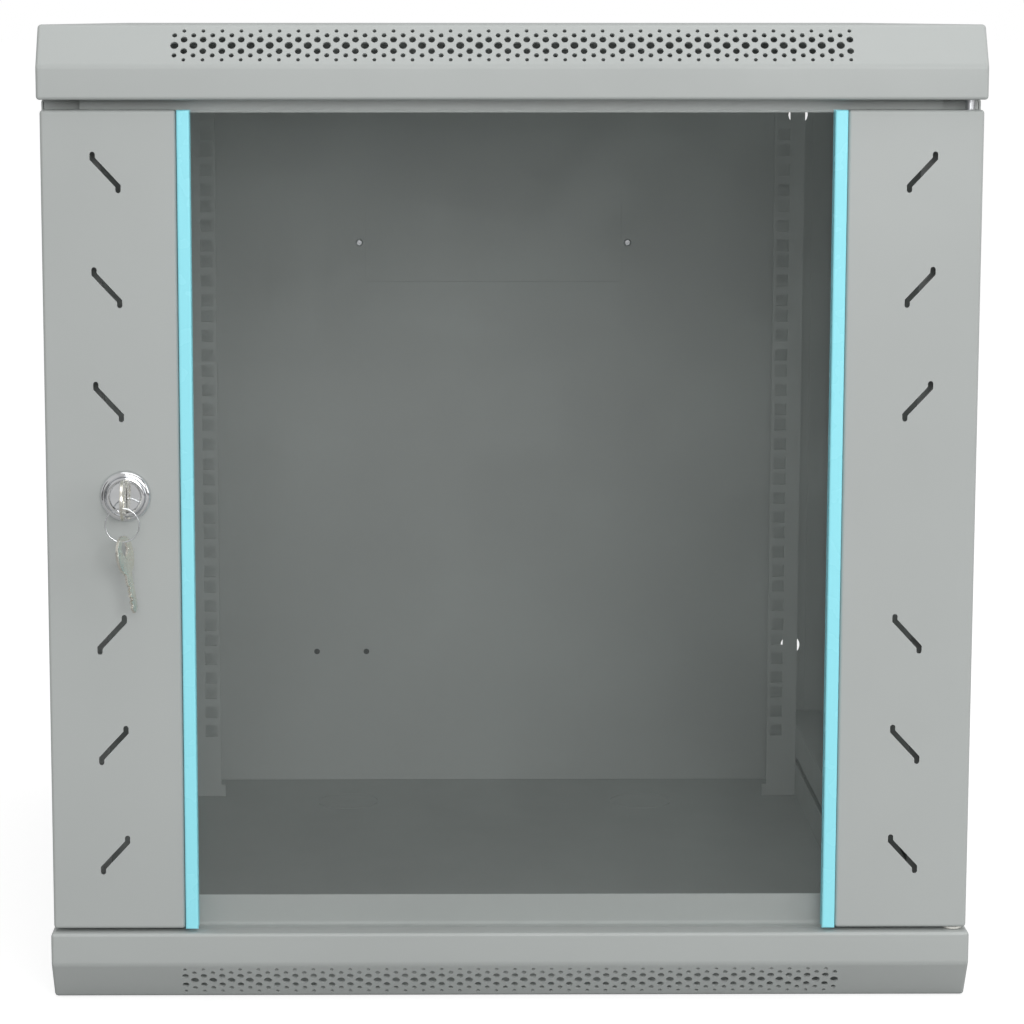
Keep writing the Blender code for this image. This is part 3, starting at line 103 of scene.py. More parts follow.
class RackSheetSizes(bpy.types.PropertyGroup):
    """Sizes of the folded sheet."""

    cover_sheet: bpy.props.FloatProperty(
        name="Cover sheet",
        description="Thickness of the upper and lower covers",
        default=0.0015,
        unit="LENGTH",
        precision=4,
    )
    panel_sheet: bpy.props.FloatProperty(
        name="Panel sheet",
        description="Thickness of the side panels and door stiles",
        default=0.0012,
        unit="LENGTH",
        precision=4,
    )
    bend_radius: bpy.props.FloatProperty(
        name="Bend radius",
        description="Outer radius of the bends",
        default=0.0021,
        unit="LENGTH",
        precision=4,
    )
    cap_height: bpy.props.FloatProperty(
        name="Cover height",
        description="Height of a cover's front and skirts",
        default=0.047,
        unit="LENGTH",
        precision=4,
    )
    slope_height: bpy.props.FloatProperty(
        name="Slope height",
        description="Height of a cover's sloping front edge",
        default=0.026,
        unit="LENGTH",
        precision=4,
    )
    slope_depth: bpy.props.FloatProperty(
        name="Slope depth",
        description="How far the sloping edge runs back",
        default=0.016,
        unit="LENGTH",
        precision=4,
    )
    lip_setback: bpy.props.FloatProperty(
        name="Lip setback",
        description="Distance of the lip behind a cover's front",
        default=0.022,
        unit="LENGTH",
        precision=4,
    )
    lip_inset: bpy.props.FloatProperty(
        name="Lip inset",
        description="Distance of the lip's ends from the cabinet's sides",
        default=0.025,
        unit="LENGTH",
        precision=4,
    )


class RackVentSizes(bpy.types.PropertyGroup):
    """Sizes of the round vents in the sloping edges."""

    pitch: bpy.props.FloatProperty(
        name="Pitch",
        description="Distance between columns of the same kind",
        default=0.012,
        unit="LENGTH",
        precision=4,
    )
    columns: bpy.props.IntProperty(
        name="Columns",
        description="Columns of each kind in one cover",
        default=36,
        min=1,
    )
    middle_radius: bpy.props.FloatProperty(
        name="Middle hole",
        description="Radius of the large hole in the middle of the slope",
        default=0.00265,
        unit="LENGTH",
        precision=5,
    )
    outer_radius: bpy.props.FloatProperty(
        name="Outer hole",
        description="Radius of the holes above and below the large one",
        default=0.0016,
        unit="LENGTH",
        precision=5,
    )
    pair_radius: bpy.props.FloatProperty(
        name="Paired hole",
        description="Radius of the two holes between the large ones",
        default=0.0022,
        unit="LENGTH",
        precision=5,
    )
    end_radius: bpy.props.FloatProperty(
        name="End hole",
        description="Radius of the holes at the ends of the paired columns",
        default=0.00125,
        unit="LENGTH",
        precision=5,
    )


class RackFinishColours(bpy.types.PropertyGroup):
    """Colours of the finishes."""

    paint: bpy.props.FloatVectorProperty(
        name="Powder coat",
        description="Colour of the painted sheet",
        default=(0.445, 0.468, 0.458),
        subtype="COLOR",
        min=0,
        max=1,
    )
    trim: bpy.props.FloatVectorProperty(
        name="Glass trim",
        description="Colour of the plastic strips beside the glass",
        default=(0.34, 0.88, 1.0),
        subtype="COLOR",
        min=0,
        max=1,
    )
    glass: bpy.props.FloatVectorProperty(
        name="Glass tint",
        description="Colour of the toughened glass",
        default=(0.27, 0.305, 0.292),
        subtype="COLOR",
        min=0,
        max=1,
    )
    key: bpy.props.FloatVectorProperty(
        name="Keys",
        description="Colour of the plated key blanks",
        default=(0.84, 0.82, 0.74),
        subtype="COLOR",
        min=0,
        max=1,
    )


# ---------------------------------------------------------------- modelling helpers


def deselect():
    bpy.ops.object.select_all(action="DESELECT")


def take(obj):
    """Makes this the one selected and active object."""
    deselect()
    obj.select_set(True)
    bpy.context.view_layer.objects.active = obj


def settled(name):
    """Names the object that was just added, and puts its place and turn into its mesh."""
    obj = bpy.context.object
    obj.name = obj.data.name = name
    bpy.ops.object.transform_apply(location=True, rotation=True, scale=True)
    return obj


def block(name, low, high):
    """A box between two corners."""
    low, high = Vector(low), Vector(high)
    deselect()
    bpy.ops.mesh.primitive_cube_add(size=1, location=(low + high) / 2)
    bpy.context.object.scale = high - low
    return settled(name)


def rod(name, centre, radius, length, axis="Z", sides=32):
    """A round bar along an axis."""
    turn = {"X": (0, math.pi / 2, 0), "Y": (-math.pi / 2, 0, 0), "Z": (0, 0, 0)}[axis]
    deselect()
    bpy.ops.mesh.primitive_cylinder_add(
        vertices=sides, radius=radius, depth=length, location=centre, rotation=turn
    )
    return settled(name)


def edit(obj, kind, test):
    """Goes into edit mode with the points, edges or faces picked whose place passes the test."""
    take(obj)
    bpy.ops.object.mode_set(mode="EDIT")
    bpy.ops.mesh.select_mode(type=kind)
    bpy.ops.mesh.select_all(action="DESELECT")
    mesh = bmesh.from_edit_mesh(obj.data)
    mesh.normal_update()
    if kind == "VERT":
        picked = [v for v in mesh.verts if test(v.co)]
    elif kind == "EDGE":
        picked = [e for e in mesh.edges if test((e.verts[0].co + e.verts[1].co) / 2, e)]
    else:
        picked = [f for f in mesh.faces if test(f.calc_center_median(), f.normal)]
    for item in picked:
        item.select_set(True)
    if kind == "VERT":
        mesh.select_flush(True)
    bmesh.update_edit_mesh(obj.data)


def leave():
    bpy.ops.object.mode_set(mode="OBJECT")


def apply(obj, kind, **settings):
    """Adds a modifier with these settings and applies it."""
    take(obj)
    modifier = obj.modifiers.new(kind.lower(), kind)
    for name, value in settings.items():
        setattr(modifier, name, value)
    bpy.ops.object.modifier_apply(modifier=modifier.name)


def bend(obj, radius, segments=3, where=lambda middle: True):
    """Rounds the folds of a shell: every edge with two faces that meet at an angle."""
    edit(
        obj,
        "EDGE",
        lambda middle, edge: edge.is_manifold
        and edge.calc_face_angle(0) > math.radians(20)
        and where(middle),
    )
    bpy.ops.mesh.bevel(offset=radius, segments=segments, affect="EDGES")
    leave()


def thicken(obj, thickness):
    """Gives a shell its sheet, on the inner side."""
    apply(obj, "SOLIDIFY", thickness=thickness, offset=-1, use_even_offset=True)


def ease(obj, width, segments=2, angle=40):
    """Takes the sharpness off the edges that stand at more than this angle."""
    apply(
        obj,
        "BEVEL",
        width=width,
        segments=segments,
        limit_method="ANGLE",
        angle_limit=math.radians(angle),
    )


def shade(obj, angle=35):
    take(obj)
    bpy.ops.object.shade_smooth_by_angle(angle=math.radians(angle))
    apply(obj, "WEIGHTED_NORMAL", keep_sharp=True)


def joined(name, parts):
    deselect()
    for part in parts:
        part.select_set(True)
    bpy.context.view_layer.objects.active = parts[0]
    if len(parts) > 1:
        bpy.ops.object.join()
    parts[0].name = parts[0].data.name = name
    return parts[0]


def cut_away(obj, *cutters):
    tool = joined("cutter", list(cutters))
    apply(obj, "BOOLEAN", operation="DIFFERENCE", solver="EXACT", object=tool)
    bpy.data.objects.remove(tool)


def copied(obj, name, matrix):
    """A copy with its own mesh, carried by matrix."""
    take(obj)
    bpy.ops.object.duplicate(linked=False)
    bpy.context.object.matrix_world = matrix
    return settled(name)


PLANES = {
    # how (first, second, along) of an outline's own plane become x, y, z
    "X": lambda a, b, c: Vector((c, a, b)),
    "Y": lambda a, b, c: Vector((a, c, b)),
    "Z": lambda a, b, c: Vector((a, b, c)),
}
ALONG = {"X": Vector((1, 0, 0)), "Y": Vector((0, 1, 0)), "Z": Vector((0, 0, 1))}


def flat_piece(name, points, axis, low, high):
    """An outline drawn as a filled ring of points, then extruded along the axis."""
    deselect()
    bpy.ops.mesh.primitive_circle_add(vertices=len(points), radius=0.01, fill_type="NGON")
    obj = settled(name)
    for vertex, (a, b) in zip(obj.data.vertices, points):
        vertex.co = PLANES[axis](a, b, low)
    edit(obj, "FACE", lambda middle, normal: True)
    step = ALONG[axis] * (high - low)
    bpy.ops.mesh.extrude_region_move(TRANSFORM_OT_translate={"value": step})
    bpy.ops.mesh.select_all(action="SELECT")
    bpy.ops.mesh.normals_make_consistent(inside=False)
    leave()
    return obj


def turned_piece(name, profile, centre, axis, steps=48):
    """A profile of (radius, place along the axis) drawn as a ring of points, then spun round."""
    out = ALONG["X"] if axis == "Z" else ALONG["Z"]
    deselect()
    bpy.ops.mesh.primitive_circle_add(vertices=len(profile), radius=0.01, fill_type="NOTHING")
    obj = settled(name)
    for vertex, (radius, along) in zip(obj.data.vertices, profile):
        vertex.co = Vector(centre) + out * radius + ALONG[axis] * along
    edit(obj, "VERT", lambda place: True)
    bpy.ops.mesh.spin(steps=steps, angle=math.tau, center=centre, axis=ALONG[axis])
    bpy.ops.mesh.select_all(action="SELECT")
    bpy.ops.mesh.remove_doubles(threshold=1e-6)
    bpy.ops.mesh.delete_loose(use_verts=True, use_edges=True, use_faces=False)
    bpy.ops.mesh.select_all(action="SELECT")
    bpy.ops.mesh.normals_make_consistent(inside=False)
    leave()
    return obj


def refined(node, width=0.0003, segments=2, angle=40):
    """A copy of a frame node's solid, merged, its flat faces made whole and its edges eased."""
    deselect()
    made = bpy.data.objects.new(node + "_finished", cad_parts[node].data.copy())
    bpy.context.scene.collection.objects.link(made)
    edit(made, "VERT", lambda place: True)
    bpy.ops.mesh.remove_doubles(threshold=1e-6)
    bpy.ops.mesh.dissolve_limited(angle_limit=math.radians(0.5))
    bpy.ops.mesh.customdata_custom_splitnormals_clear()
    leave()
    if width:
        ease(made, width, segments, angle)
    shade(made)
    return made


def finish(obj, finish_name, body, *nodes, slot=None):
    """Paints a piece, hangs it on its body and lets it stand for its frame nodes."""
    obj.data.materials.clear()
    obj.data.materials.append(coat(finish_name))
    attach(obj, body)
    if nodes:
        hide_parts(*nodes)


def finish_nodes(body, finish_name, nodes, **bevel):
    for node in nodes:
        finish(refined(node, **bevel), finish_name, body, node)


# ---------------------------------------------------------------- finishes


def shader_of(name):
    """A new material, its node tree and its main shader."""
    made = bpy.data.materials.new(name)
    made.use_nodes = True
    tree = made.node_tree
    return made, tree, tree.nodes["Principled BSDF"]


def grain(tree, scale, detail=2.0, stretch=(1, 1, 1), roughness=0.5):
    """Noise on the piece's own coordinates, in cycles a metre."""
    place = tree.nodes.new("ShaderNodeTexCoord")
    mapping = tree.nodes.new("ShaderNodeMapping")
    mapping.inputs["Scale"].default_value = stretch
    noise = tree.nodes.new("ShaderNodeTexNoise")
    noise.inputs["Scale"].default_value = scale
    noise.inputs["Detail"].default_value = detail
    noise.inputs["Roughness"].default_value = roughness
    tree.links.new(place.outputs["Object"], mapping.inputs["Vector"])
    tree.links.new(mapping.outputs["Vector"], noise.inputs["Vector"])
    return noise.outputs["Fac"]


def spread(tree, value, low, high, start=0.3, end=0.7):
    """The value from start to end, spread over low to high."""
    node = tree.nodes.new("ShaderNodeMapRange")
    node.inputs["From Min"].default_value = start
    node.inputs["From Max"].default_value = end
    node.inputs["To Min"].default_value = low
    node.inputs["To Max"].default_value = high
    tree.links.new(value, node.inputs["Value"])
    return node.outputs["Result"]


def blend(tree, factor, first, second):
    node = tree.nodes.new("ShaderNodeMix")
    node.data_type = "RGBA"
    node.inputs["A"].default_value = (*first, 1)
    node.inputs["B"].default_value = (*second, 1)
    tree.links.new(factor, node.inputs["Factor"])
    return node.outputs["Result"]


def raise_grain(tree, shader, height, strength, distance):
    bump = tree.nodes.new("ShaderNodeBump")
    bump.inputs["Strength"].default_value = strength
    bump.inputs["Distance"].default_value = distance
    tree.links.new(height, bump.inputs["Height"])
    tree.links.new(bump.outputs["Normal"], shader.inputs["Normal"])


def shade_of(colour, share):
    return tuple(min(1.0, part * share) for part in colour)


def powder_coat(name, colour):
    """Satin polyester powder on steel: fine orange peel and a slow drift of tone."""
    made, tree, shader = shader_of(name)
    drift = spread(tree, grain(tree, 4, 4), 0, 1)
    tone = blend(tree, drift, shade_of(colour, 0.965), shade_of(colour, 1.03))
    tree.links.new(tone, shader.inputs["Base Color"])
    tree.links.new(spread(tree, grain(tree, 28, 3), 0.40, 0.50), shader.inputs["Roughness"])
    raise_grain(tree, shader, grain(tree, 650, 2), 0.08, 0.0001)
    return made


def clear_glass(name, colour):
    """Clear toughened glass with a faint grey-green body and the clouding of handling."""
    made, tree, shader = shader_of(name)
    cloud = spread(tree, grain(tree, 7, 6, roughness=0.62), 0, 1, 0.35, 0.65)
    tone = blend(tree, cloud, colour, shade_of(colour, 1.15))
    tree.links.new(tone, shader.inputs["Base Color"])
    wipe = grain(tree, 22, 5, (1, 1, 0.35), 0.6)
    tree.links.new(spread(tree, wipe, 0.02, 0.07), shader.inputs["Roughness"])
    tree.links.new(spread(tree, cloud, 0.085, 0.115, 0, 1), shader.inputs["Alpha"])
    shader.inputs["IOR"].default_value = 1.52
    return made


def moulded(name, colour, roughness, grain_scale, depth):
    """Extruded or moulded plastic or rubber, with a soft sheen and a fine surface."""
    made, tree, shader = shader_of(name)
    drift = spread(tree, grain(tree, 9, 3, (1, 1, 0.3)), 0, 1)
    tone = blend(tree, drift, shade_of(colour, 0.96), shade_of(colour, 1.02))
    tree.links.new(tone, shader.inputs["Base Color"])
    sheen = spread(tree, grain(tree, 60, 2), roughness - 0.04, roughness + 0.05)
    tree.links.new(sheen, shader.inputs["Roughness"])
    raise_grain(tree, shader, grain(tree, grain_scale, 2), 0.08, depth)
    return made


def plated(name, colour, roughness, stretch=(1, 1, 1), scale=320.0, depth=0.00002):
    """Plated or bare metal: a fine directional grain, and patches a little duller than others."""
    made, tree, shader = shader_of(name)
    shader.inputs["Metallic"].default_value = 1.0
    drift = spread(tree, grain(tree, 60, 4), 0, 1)
    tone = blend(tree, drift, shade_of(colour, 0.9), shade_of(colour, 1.05))
    tree.links.new(tone, shader.inputs["Base Color"])
    dull = spread(tree, grain(tree, 140, 3), roughness * 0.8, roughness * 1.3)
    tree.links.new(dull, shader.inputs["Roughness"])
    raise_grain(tree, shader, grain(tree, scale, 3, stretch), 0.12, depth)
    return made


def coat(finish_name):
    """The finish of this name, made the first time that it is wanted."""
    name = f"{finish_name}_surface"
    if name in bpy.data.materials:
        return bpy.data.materials[name]
    colours = bpy.context.scene.rack_colours
    makers = {
        "painted_steel": lambda: powder_coat(name, colours.paint),
        "toughened_glass": lambda: clear_glass(name, colours.glass),
        "blue_trim": lambda: moulded(name, colours.trim, 0.26, 240, 0.00001),
        "nylon": lambda: moulded(name, (0.78, 0.77, 0.72), 0.45, 500, 0.00003),
        "rubber": lambda: moulded(name, (0.022, 0.022, 0.024), 0.72, 900, 0.00008),
        "zinc_plated_steel": lambda: plated(name, (0.62, 0.63, 0.65), 0.33),
        "chrome": lambda: plated(name, (0.80, 0.81, 0.82), 0.07, depth=0.000004),
        "nickel_silver": lambda: plated(name, colours.key, 0.24, (1, 1, 0.12), 900, 0.000003),
        "spring_steel": lambda: plated(name, (0.80, 0.81, 0.82), 0.16, depth=0.000003),
        "brass": lambda: plated(name, (0.74, 0.55, 0.26), 0.28),
    }
    return makers[finish_name]()


# ---------------------------------------------------------------- covers


def vent_column(sizes, radii_and_offsets, x, pitch, count):
    """Bars square to the slope for one column, repeated along the cover."""
    slope = math.atan2(sizes.slope_height, sizes.slope_depth)
    front = LOWER_COVER[0].y
    middle = Vector((x, front + sizes.slope_depth / 2, sizes.slope_height / 2))
    up = Vector((0, -math.cos(slope), math.sin(slope)))
    bars = []
    for radius, offset in radii_and_offsets:
        deselect()
        bpy.ops.mesh.primitive_cylinder_add(
            vertices=16,
            radius=radius,
            depth=0.012,
            location=middle + up * offset,
            rotation=(-slope, 0, 0),
        )
        bars.append(settled("vent"))
    column = joined("vents", bars)
    apply(
        column,
        "ARRAY",
        count=count,
        use_relative_offset=False,
        use_constant_offset=True,
        constant_offset_displace=(pitch, 0, 0),
    )
    return column


def knockout_groove(x, y):
    """A round groove in two halves, with a bridge on each side that holds the disc."""
    deselect()
    bpy.ops.mesh.primitive_circle_add(
        vertices=50, radius=KNOCKOUT_RADIUS, fill_type="NOTHING", location=(x, y, -0.003)
    )
    groove = settled("groove")
    edit(groove, "EDGE", lambda middle, edge: abs(middle.y - y) < 0.0031)
    bpy.ops.mesh.delete(type="EDGE")
    bpy.ops.mesh.select_all(action="SELECT")
    bpy.ops.mesh.extrude_edges_move(TRANSFORM_OT_translate={"value": (0, 0, 0.008)})
    leave()
    apply(groove, "SOLIDIFY", thickness=0.001, offset=0)
    return groove


def cover_shell(sizes):
    """The lower cover before its holes: skirts, floor, slope, band, flange and lip in one fold."""
    low, high = LOWER_COVER
    cap, lip = sizes.cap_height, low.y + sizes.lip_setback
    shell = block("bottom_cover_finished", low, (high.x, high.y, cap))
    edit(shell, "FACE", lambda middle, normal: True)
    bpy.ops.mesh.bisect(plane_co=(0, 0, sizes.slope_height), plane_no=(0, 0, 1))
    leave()
    edit(shell, "VERT", lambda place: place.z < 1e-5 and place.y < low.y + 1e-5)
    bpy.ops.transform.translate(value=(0, sizes.slope_depth, 0))
    leave()
    for point, normal in (
        ((0, lip, 0), (0, 1, 0)),
        ((low.x + sizes.lip_inset, 0, 0), (1, 0, 0)),
        ((high.x - sizes.lip_inset, 0, 0), (1, 0, 0)),
    ):
        edit(shell, "FACE", lambda middle, n: n.z > 0.9 and middle.y < lip + 0.5)
        bpy.ops.mesh.bisect(plane_co=point, plane_no=normal)
        leave()
    edit(shell, "FACE", lambda middle, n: n.z > 0.9 and middle.y > lip)
    bpy.ops.mesh.delete(type="FACE")
    leave()
    half = high.x - sizes.lip_inset
    edit(
        shell,
        "EDGE",
        lambda middle, edge: abs(middle.y - lip) < 1e-5
        and middle.z > cap - 1e-5
        and abs(middle.x) < half,
    )
    rise = LOWER_COVER[1].z - cap
    bpy.ops.mesh.extrude_edges_move(TRANSFORM_OT_translate={"value": (0, 0, rise)})
    leave()
    edit(shell, "VERT", lambda place: True)
    bpy.ops.mesh.dissolve_limited(angle_limit=math.radians(0.5))
    leave()
    bend(shell, sizes.bend_radius)
    thicken(shell, sizes.cover_sheet)
    return shell


class RACK_OT_covers(bpy.types.Operator):
    """Adds the lower cover with its vents and knock-outs, and turns a copy over for the top"""

    bl_idname = "rack.covers"
    bl_label = "Covers"

    def execute(self, context):
        sizes, vents = context.scene.rack_sheet, context.scene.rack_vents
        shell = cover_shell(sizes)
        span = (vents.columns - 0.5) * vents.pitch
        single = [(vents.middle_radius, 0)]
        single += [(vents.outer_radius, offset) for offset in (-OUTER_VENT, OUTER_VENT)]
        double = [(vents.pair_radius, offset) for offset in (-PAIR_VENT, PAIR_VENT)]
        double += [(vents.end_radius, offset) for offset in (-END_VENT, END_VENT)]
        start = -span / 2
        rear_edge = LOWER_COVER[1].y
        pin_hole = HINGE_CENTRE + Vector((0, 0, sizes.cap_height))
        cut_away(
            shell,
            vent_column(sizes, double, start, vents.pitch, vents.columns),
            vent_column(sizes, single, start + vents.pitch / 2, vents.pitch, vents.columns),
            *[knockout_groove(side * KNOCKOUT_OUT, rear_edge - KNOCKOUT_IN) for side in (-1, 1)],
            rod("pin_hole", pin_hole, PIN_HOLE_RADIUS, 0.01),
        )
        turn_over = Matrix.Translation((0, 0, UPPER_COVER[1].z))
        turn_over @= Matrix.Rotation(math.pi, 4, "Y")
        upper = copied(shell, "top_cover_finished", turn_over)
        across = HINGE_CENTRE + Vector((0, 0, UPPER_COVER[1].z - sizes.cap_height))
        # The upper lip is shorter than the lower one, so what is too long is cut off
        below_lip = block("below_lip", (-0.3, -0.29, 0.5), (0.3, -0.27, UPPER_COVER[0].z))
        cut_away(upper, rod("pin_hole", across, PIN_HOLE_RADIUS, 0.01), below_lip)
        for cover, node in ((shell, "bottom_cover"), (upper, "top_cover")):
            shade(cover)
            finish(cover, "painted_steel", "cabinet", node)
        return {"FINISHED"}


# ---------------------------------------------------------------- frame, rear panel and rails


class RACK_OT_frame(bpy.types.Operator):
    """Adds the corner posts, the depth brackets and the bonding stud"""

    bl_idname = "rack.frame"
    bl_label = "Posts and brackets"

    def execute(self, context):
        posts = [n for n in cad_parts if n.startswith(("corner_post", "depth_bracket"))]
        finish_nodes("cabinet", "painted_steel", posts, width=0.0006)
        finish_nodes("cabinet", "brass", ["earth_stud"], width=0.0003)
        return {"FINISHED"}


class RACK_OT_rear_panel(bpy.types.Operator):
    """Adds the rear panel, its cable cover and their fixings, and black plugs in two small holes
    as painted shade
    """

    bl_idname = "rack.rear_panel"
    bl_label = "Rear panel"

    def execute(self, context):
        finish_nodes("cabinet", "painted_steel", ["rear_panel", "rear_cable_cover"], width=0.0002)
        fixings = [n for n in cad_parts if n.startswith(("rear_panel_nut", "cable_cover_sc"))]
        finish_nodes("cabinet", "zinc_plated_steel", fixings)
        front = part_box("rear_panel")[0].y
        # Black rubber plugs fill the two small holes: painted shade, a dark stand-in for the
        # shadow seen through them
        for number, (x, z) in enumerate(SHADE_PLUG_PLACES, 1):
            profile = [
                (0, front + 0.0012),
                (0.0017, front + 0.0012),
                (0.0017, front),
                (0.0024, front - 0.0001),
                (0.0021, front - 0.0006),
                (0, front - 0.0009),
            ]
            plug = turned_piece(f"shade_plug_{number}", profile, (x, 0, z), "Y", 24)
            shade(plug)
            finish(plug, "rubber", "cabinet")
        return {"FINISHED"}


class RACK_OT_rack_rails(bpy.types.Operator):
    """Adds the four rails with their square holes, and the bolts that hold them"""

    bl_idname = "rack.rack_rails"
    bl_label = "Rack rails"

    def execute(self, context):
        for end in ("front", "rear"):
            rails = [f"rack_rail_{end}_{side}" for side in SIDES]
            bolts = [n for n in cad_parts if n.startswith(f"rail_bolt_{end}")]
            finish_nodes(f"{end}_rails", "painted_steel", rails, width=0.0004)
            finish_nodes(f"{end}_rails", "zinc_plated_steel", bolts, width=0.0005)
        return {"FINISHED"}


# ---------------------------------------------------------------- side panels


def side_panel(name, side, sizes):
    """A flat sheet with a short return along its upper and lower edges."""
    low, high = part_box(f"side_panel_{name}")
    outer = high.x if side > 0 else low.x
    inner = low.x if side > 0 else high.x
    panel = block(f"side_panel_{name}_finished", low, high)
    edit(panel, "FACE", lambda middle, normal: abs(normal.y) > 0.9 or normal.x * side < -0.9)
    bpy.ops.mesh.delete(type="FACE")
    leave()
    for y in (low.y + 0.041, high.y - 0.044):
        edit(panel, "FACE", lambda middle, normal: abs(normal.z) > 0.9)
        bpy.ops.mesh.bisect(plane_co=(0, y, 0), plane_no=(0, 1, 0))
        leave()
    edit(
        panel,
        "VERT",
        lambda place: abs(place.x - inner) < 1e-5
        and not low.y + 0.04 < place.y < high.y - 0.043,
    )
    away = outer - side * sizes.panel_sheet * 2 - inner
    bpy.ops.transform.translate(value=(away, 0, 0))
    leave()
    bend(panel, 0.0016)
    thicken(panel, sizes.panel_sheet)
    latch = sum(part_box(f"side_latch_housing_{name}"), Vector()) / 2
    cut_away(panel, rod("latch_hole", latch, 0.0093, 0.02, "X"))
    shade(panel)
    return panel


def latch_housing(name, side):
    """A turned ring, flush with the panel, with a flange behind it."""
    low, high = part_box(f"side_latch_housing_{name}")
    face, back = (high.x, low.x) if side > 0 else (low.x, high.x)
    centre = (low + high) / 2
    step = 0.0015 * side
    profile = [
        (0.0063, face),
        (0.0086, face),
        (0.0090, face - side * 0.0004),
        (0.0090, back + step),
        (0.0118, back + step),
        (0.0118, back),
        (0.0063, back),
    ]
    return turned_piece(
        f"side_latch_housing_{name}_finished", profile, (0, centre.y, centre.z), "X", 40
    )


class RACK_OT_side_panels(bpy.types.Operator):
    """Adds both lift-off sides with their quarter-turn latches"""

    bl_idname = "rack.side_panels"
    bl_label = "Side panels"

    def execute(self, context):
        for name, side in SIDES.items():
            body = f"side_{name}"
            panel = side_panel(name, side, context.scene.rack_sheet)
            finish(panel, "painted_steel", body, f"side_panel_{name}")
            housing = latch_housing(name, side)
            shade(housing)
            finish(housing, "chrome", body, f"side_latch_housing_{name}")
            finish_nodes(f"latch_{name}", "chrome", [f"side_latch_{name}"], width=0.0003)
        return {"FINISHED"}


# ---------------------------------------------------------------- door


def slot_cutter(x, z, lean):
    """A slanted slot with short upright ends, 3 mm wide. lean is 1 for / and -1 for \\."""
    half, rise, tail, wide = 0.008, 0.0086, 0.0028, 0.0017
    tilt = math.atan2(2 * half, 2 * rise) / 2
    corner = wide * math.tan(tilt)
    right_of_bends = [(half + wide, rise - corner), (-half + wide, -rise - corner)]
    turns = [math.pi * i / 6 for i in range(7)]
    cap = [(half + wide * math.cos(a), rise + tail + wide * math.sin(a)) for a in turns]
    way_up = [right_of_bends[1], right_of_bends[0]] + cap
    points = way_up + [(-a, -b) for a, b in way_up]
    points = [(x + lean * a, z + b) for a, b in points]
    return flat_piece("slot", points, "Y", DOOR_FRONT - 0.003, DOOR_FRONT + 0.004)


def slot_places(low, high, side):
    """The upper and lower groups of three slant towards each other."""
    outer = low.x if side < 0 else high.x
    insets = (0.041, 0.041) if side < 0 else (0.0387, 0.0425)
    places = []
    for i in range(3):
        places.append((outer - side * insets[0], high.z - 0.0392 - i * 0.0731, side))
        places.append((outer - side * insets[1], low.z + 0.0495 + i * 0.0731, -side))
    return places


def stile(node, side, sizes):
    """A folded pan, open at the back inside a return all round, with its six slots."""
    low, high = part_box(node)
    pan = block(node + "_finished", low, high)
    edit(pan, "FACE", lambda middle, normal: normal.y > 0.9)
    bpy.ops.mesh.inset(thickness=0.0115)
    bpy.ops.mesh.delete(type="FACE")
    leave()
    bend(pan, sizes.bend_radius, 4)
    thicken(pan, sizes.panel_sheet)
    cutters = [slot_cutter(*place) for place in slot_places(low, high, side)]
    if side < 0:
        cutters.append(rod("lock_hole", LOCK_CENTRE + Vector((0, low.y, 0)), 0.0118, 0.01, "Y"))
    else:
        cutters.append(rod("bush_hole", HINGE_CENTRE + Vector((0, 0, low.z)), 0.0051, 0.008))
        cutters.append(rod("pin_hole", HINGE_CENTRE + Vector((0, 0, high.z)), 0.0036, 0.008))
    cut_away(pan, *cutters)
    shade(pan)
    return pan


def glass_trim(name, side):
    """An extruded strip with rounded front edges and a groove for the glass."""
    low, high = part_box(f"glass_trim_{name}")
    strip = block(f"glass_trim_{name}_finished", low, high)
    front = low.y
    bend(strip, 0.0013, 4, lambda middle: middle.y < front + 1e-5)
    bend(strip, 0.0006, 2, lambda middle: middle.y > high.y - 1e-5)
    outer = high.x if side > 0 else low.x
    inner = low.x if side > 0 else high.x
    groove = outer - side * 0.0037
    low_y, high_y = GLASS[0].y - 0.0003, GLASS[1].y + 0.0003
    ends = sorted((groove, inner - side * 0.004))
    cut_away(
        strip,
        block("groove", (ends[0], low_y, low.z - 0.01), (ends[1], high_y, high.z + 0.01)),
    )
    shade(strip)
    return strip


class RACK_OT_door(bpy.types.Operator):
    """Adds the two slotted stiles, the glass and its trims"""

    bl_idname = "rack.door"
    bl_label = "Glass door"

    def execute(self, context):
        for node, side in (("door_lock_stile", -1), ("door_hinge_stile", 1)):
            pan = stile(node, side, context.scene.rack_sheet)
            finish(pan, "painted_steel", "door", node)
        for name, side in SIDES.items():
            finish(glass_trim(name, side), "blue_trim", "door", f"glass_trim_{name}")
        pane = block("door_glass_finished", *GLASS)
        bend(pane, 0.0005, 2)
        shade(pane)
        finish(pane, "toughened_glass", "door", "door_glass")
        return {"FINISHED"}


# ---------------------------------------------------------------- hinges


def coil_spring(low, high, radius, wire, turns):
    """A round wire wound up a pin."""
    deselect()
    bpy.ops.mesh.primitive_circle_add(
        vertices=10, radius=wire, fill_type="NOTHING", rotation=(math.pi / 2, 0, 0)
    )
    coil = settled("upper_hinge_spring_finished")
    edit(coil, "VERT", lambda place: True)
    bpy.ops.transform.translate(value=(radius, 0, 0))
    leave()
    rise = high - low - 2 * wire
    apply(
        coil,
        "SCREW",
        angle=math.tau,
        screw_offset=rise / turns,
        iterations=turns,
        steps=24,
        render_steps=24,
        use_merge_vertices=False,
    )
    edit(coil, "EDGE", lambda middle, edge: edge.is_boundary)
    bpy.ops.mesh.edge_face_add()
    bpy.ops.mesh.select_all(action="SELECT")
    bpy.ops.mesh.normals_make_consistent(inside=False)
    bpy.ops.transform.translate(value=(HINGE_CENTRE.x, HINGE_CENTRE.y, low + wire))
    leave()
    return coil


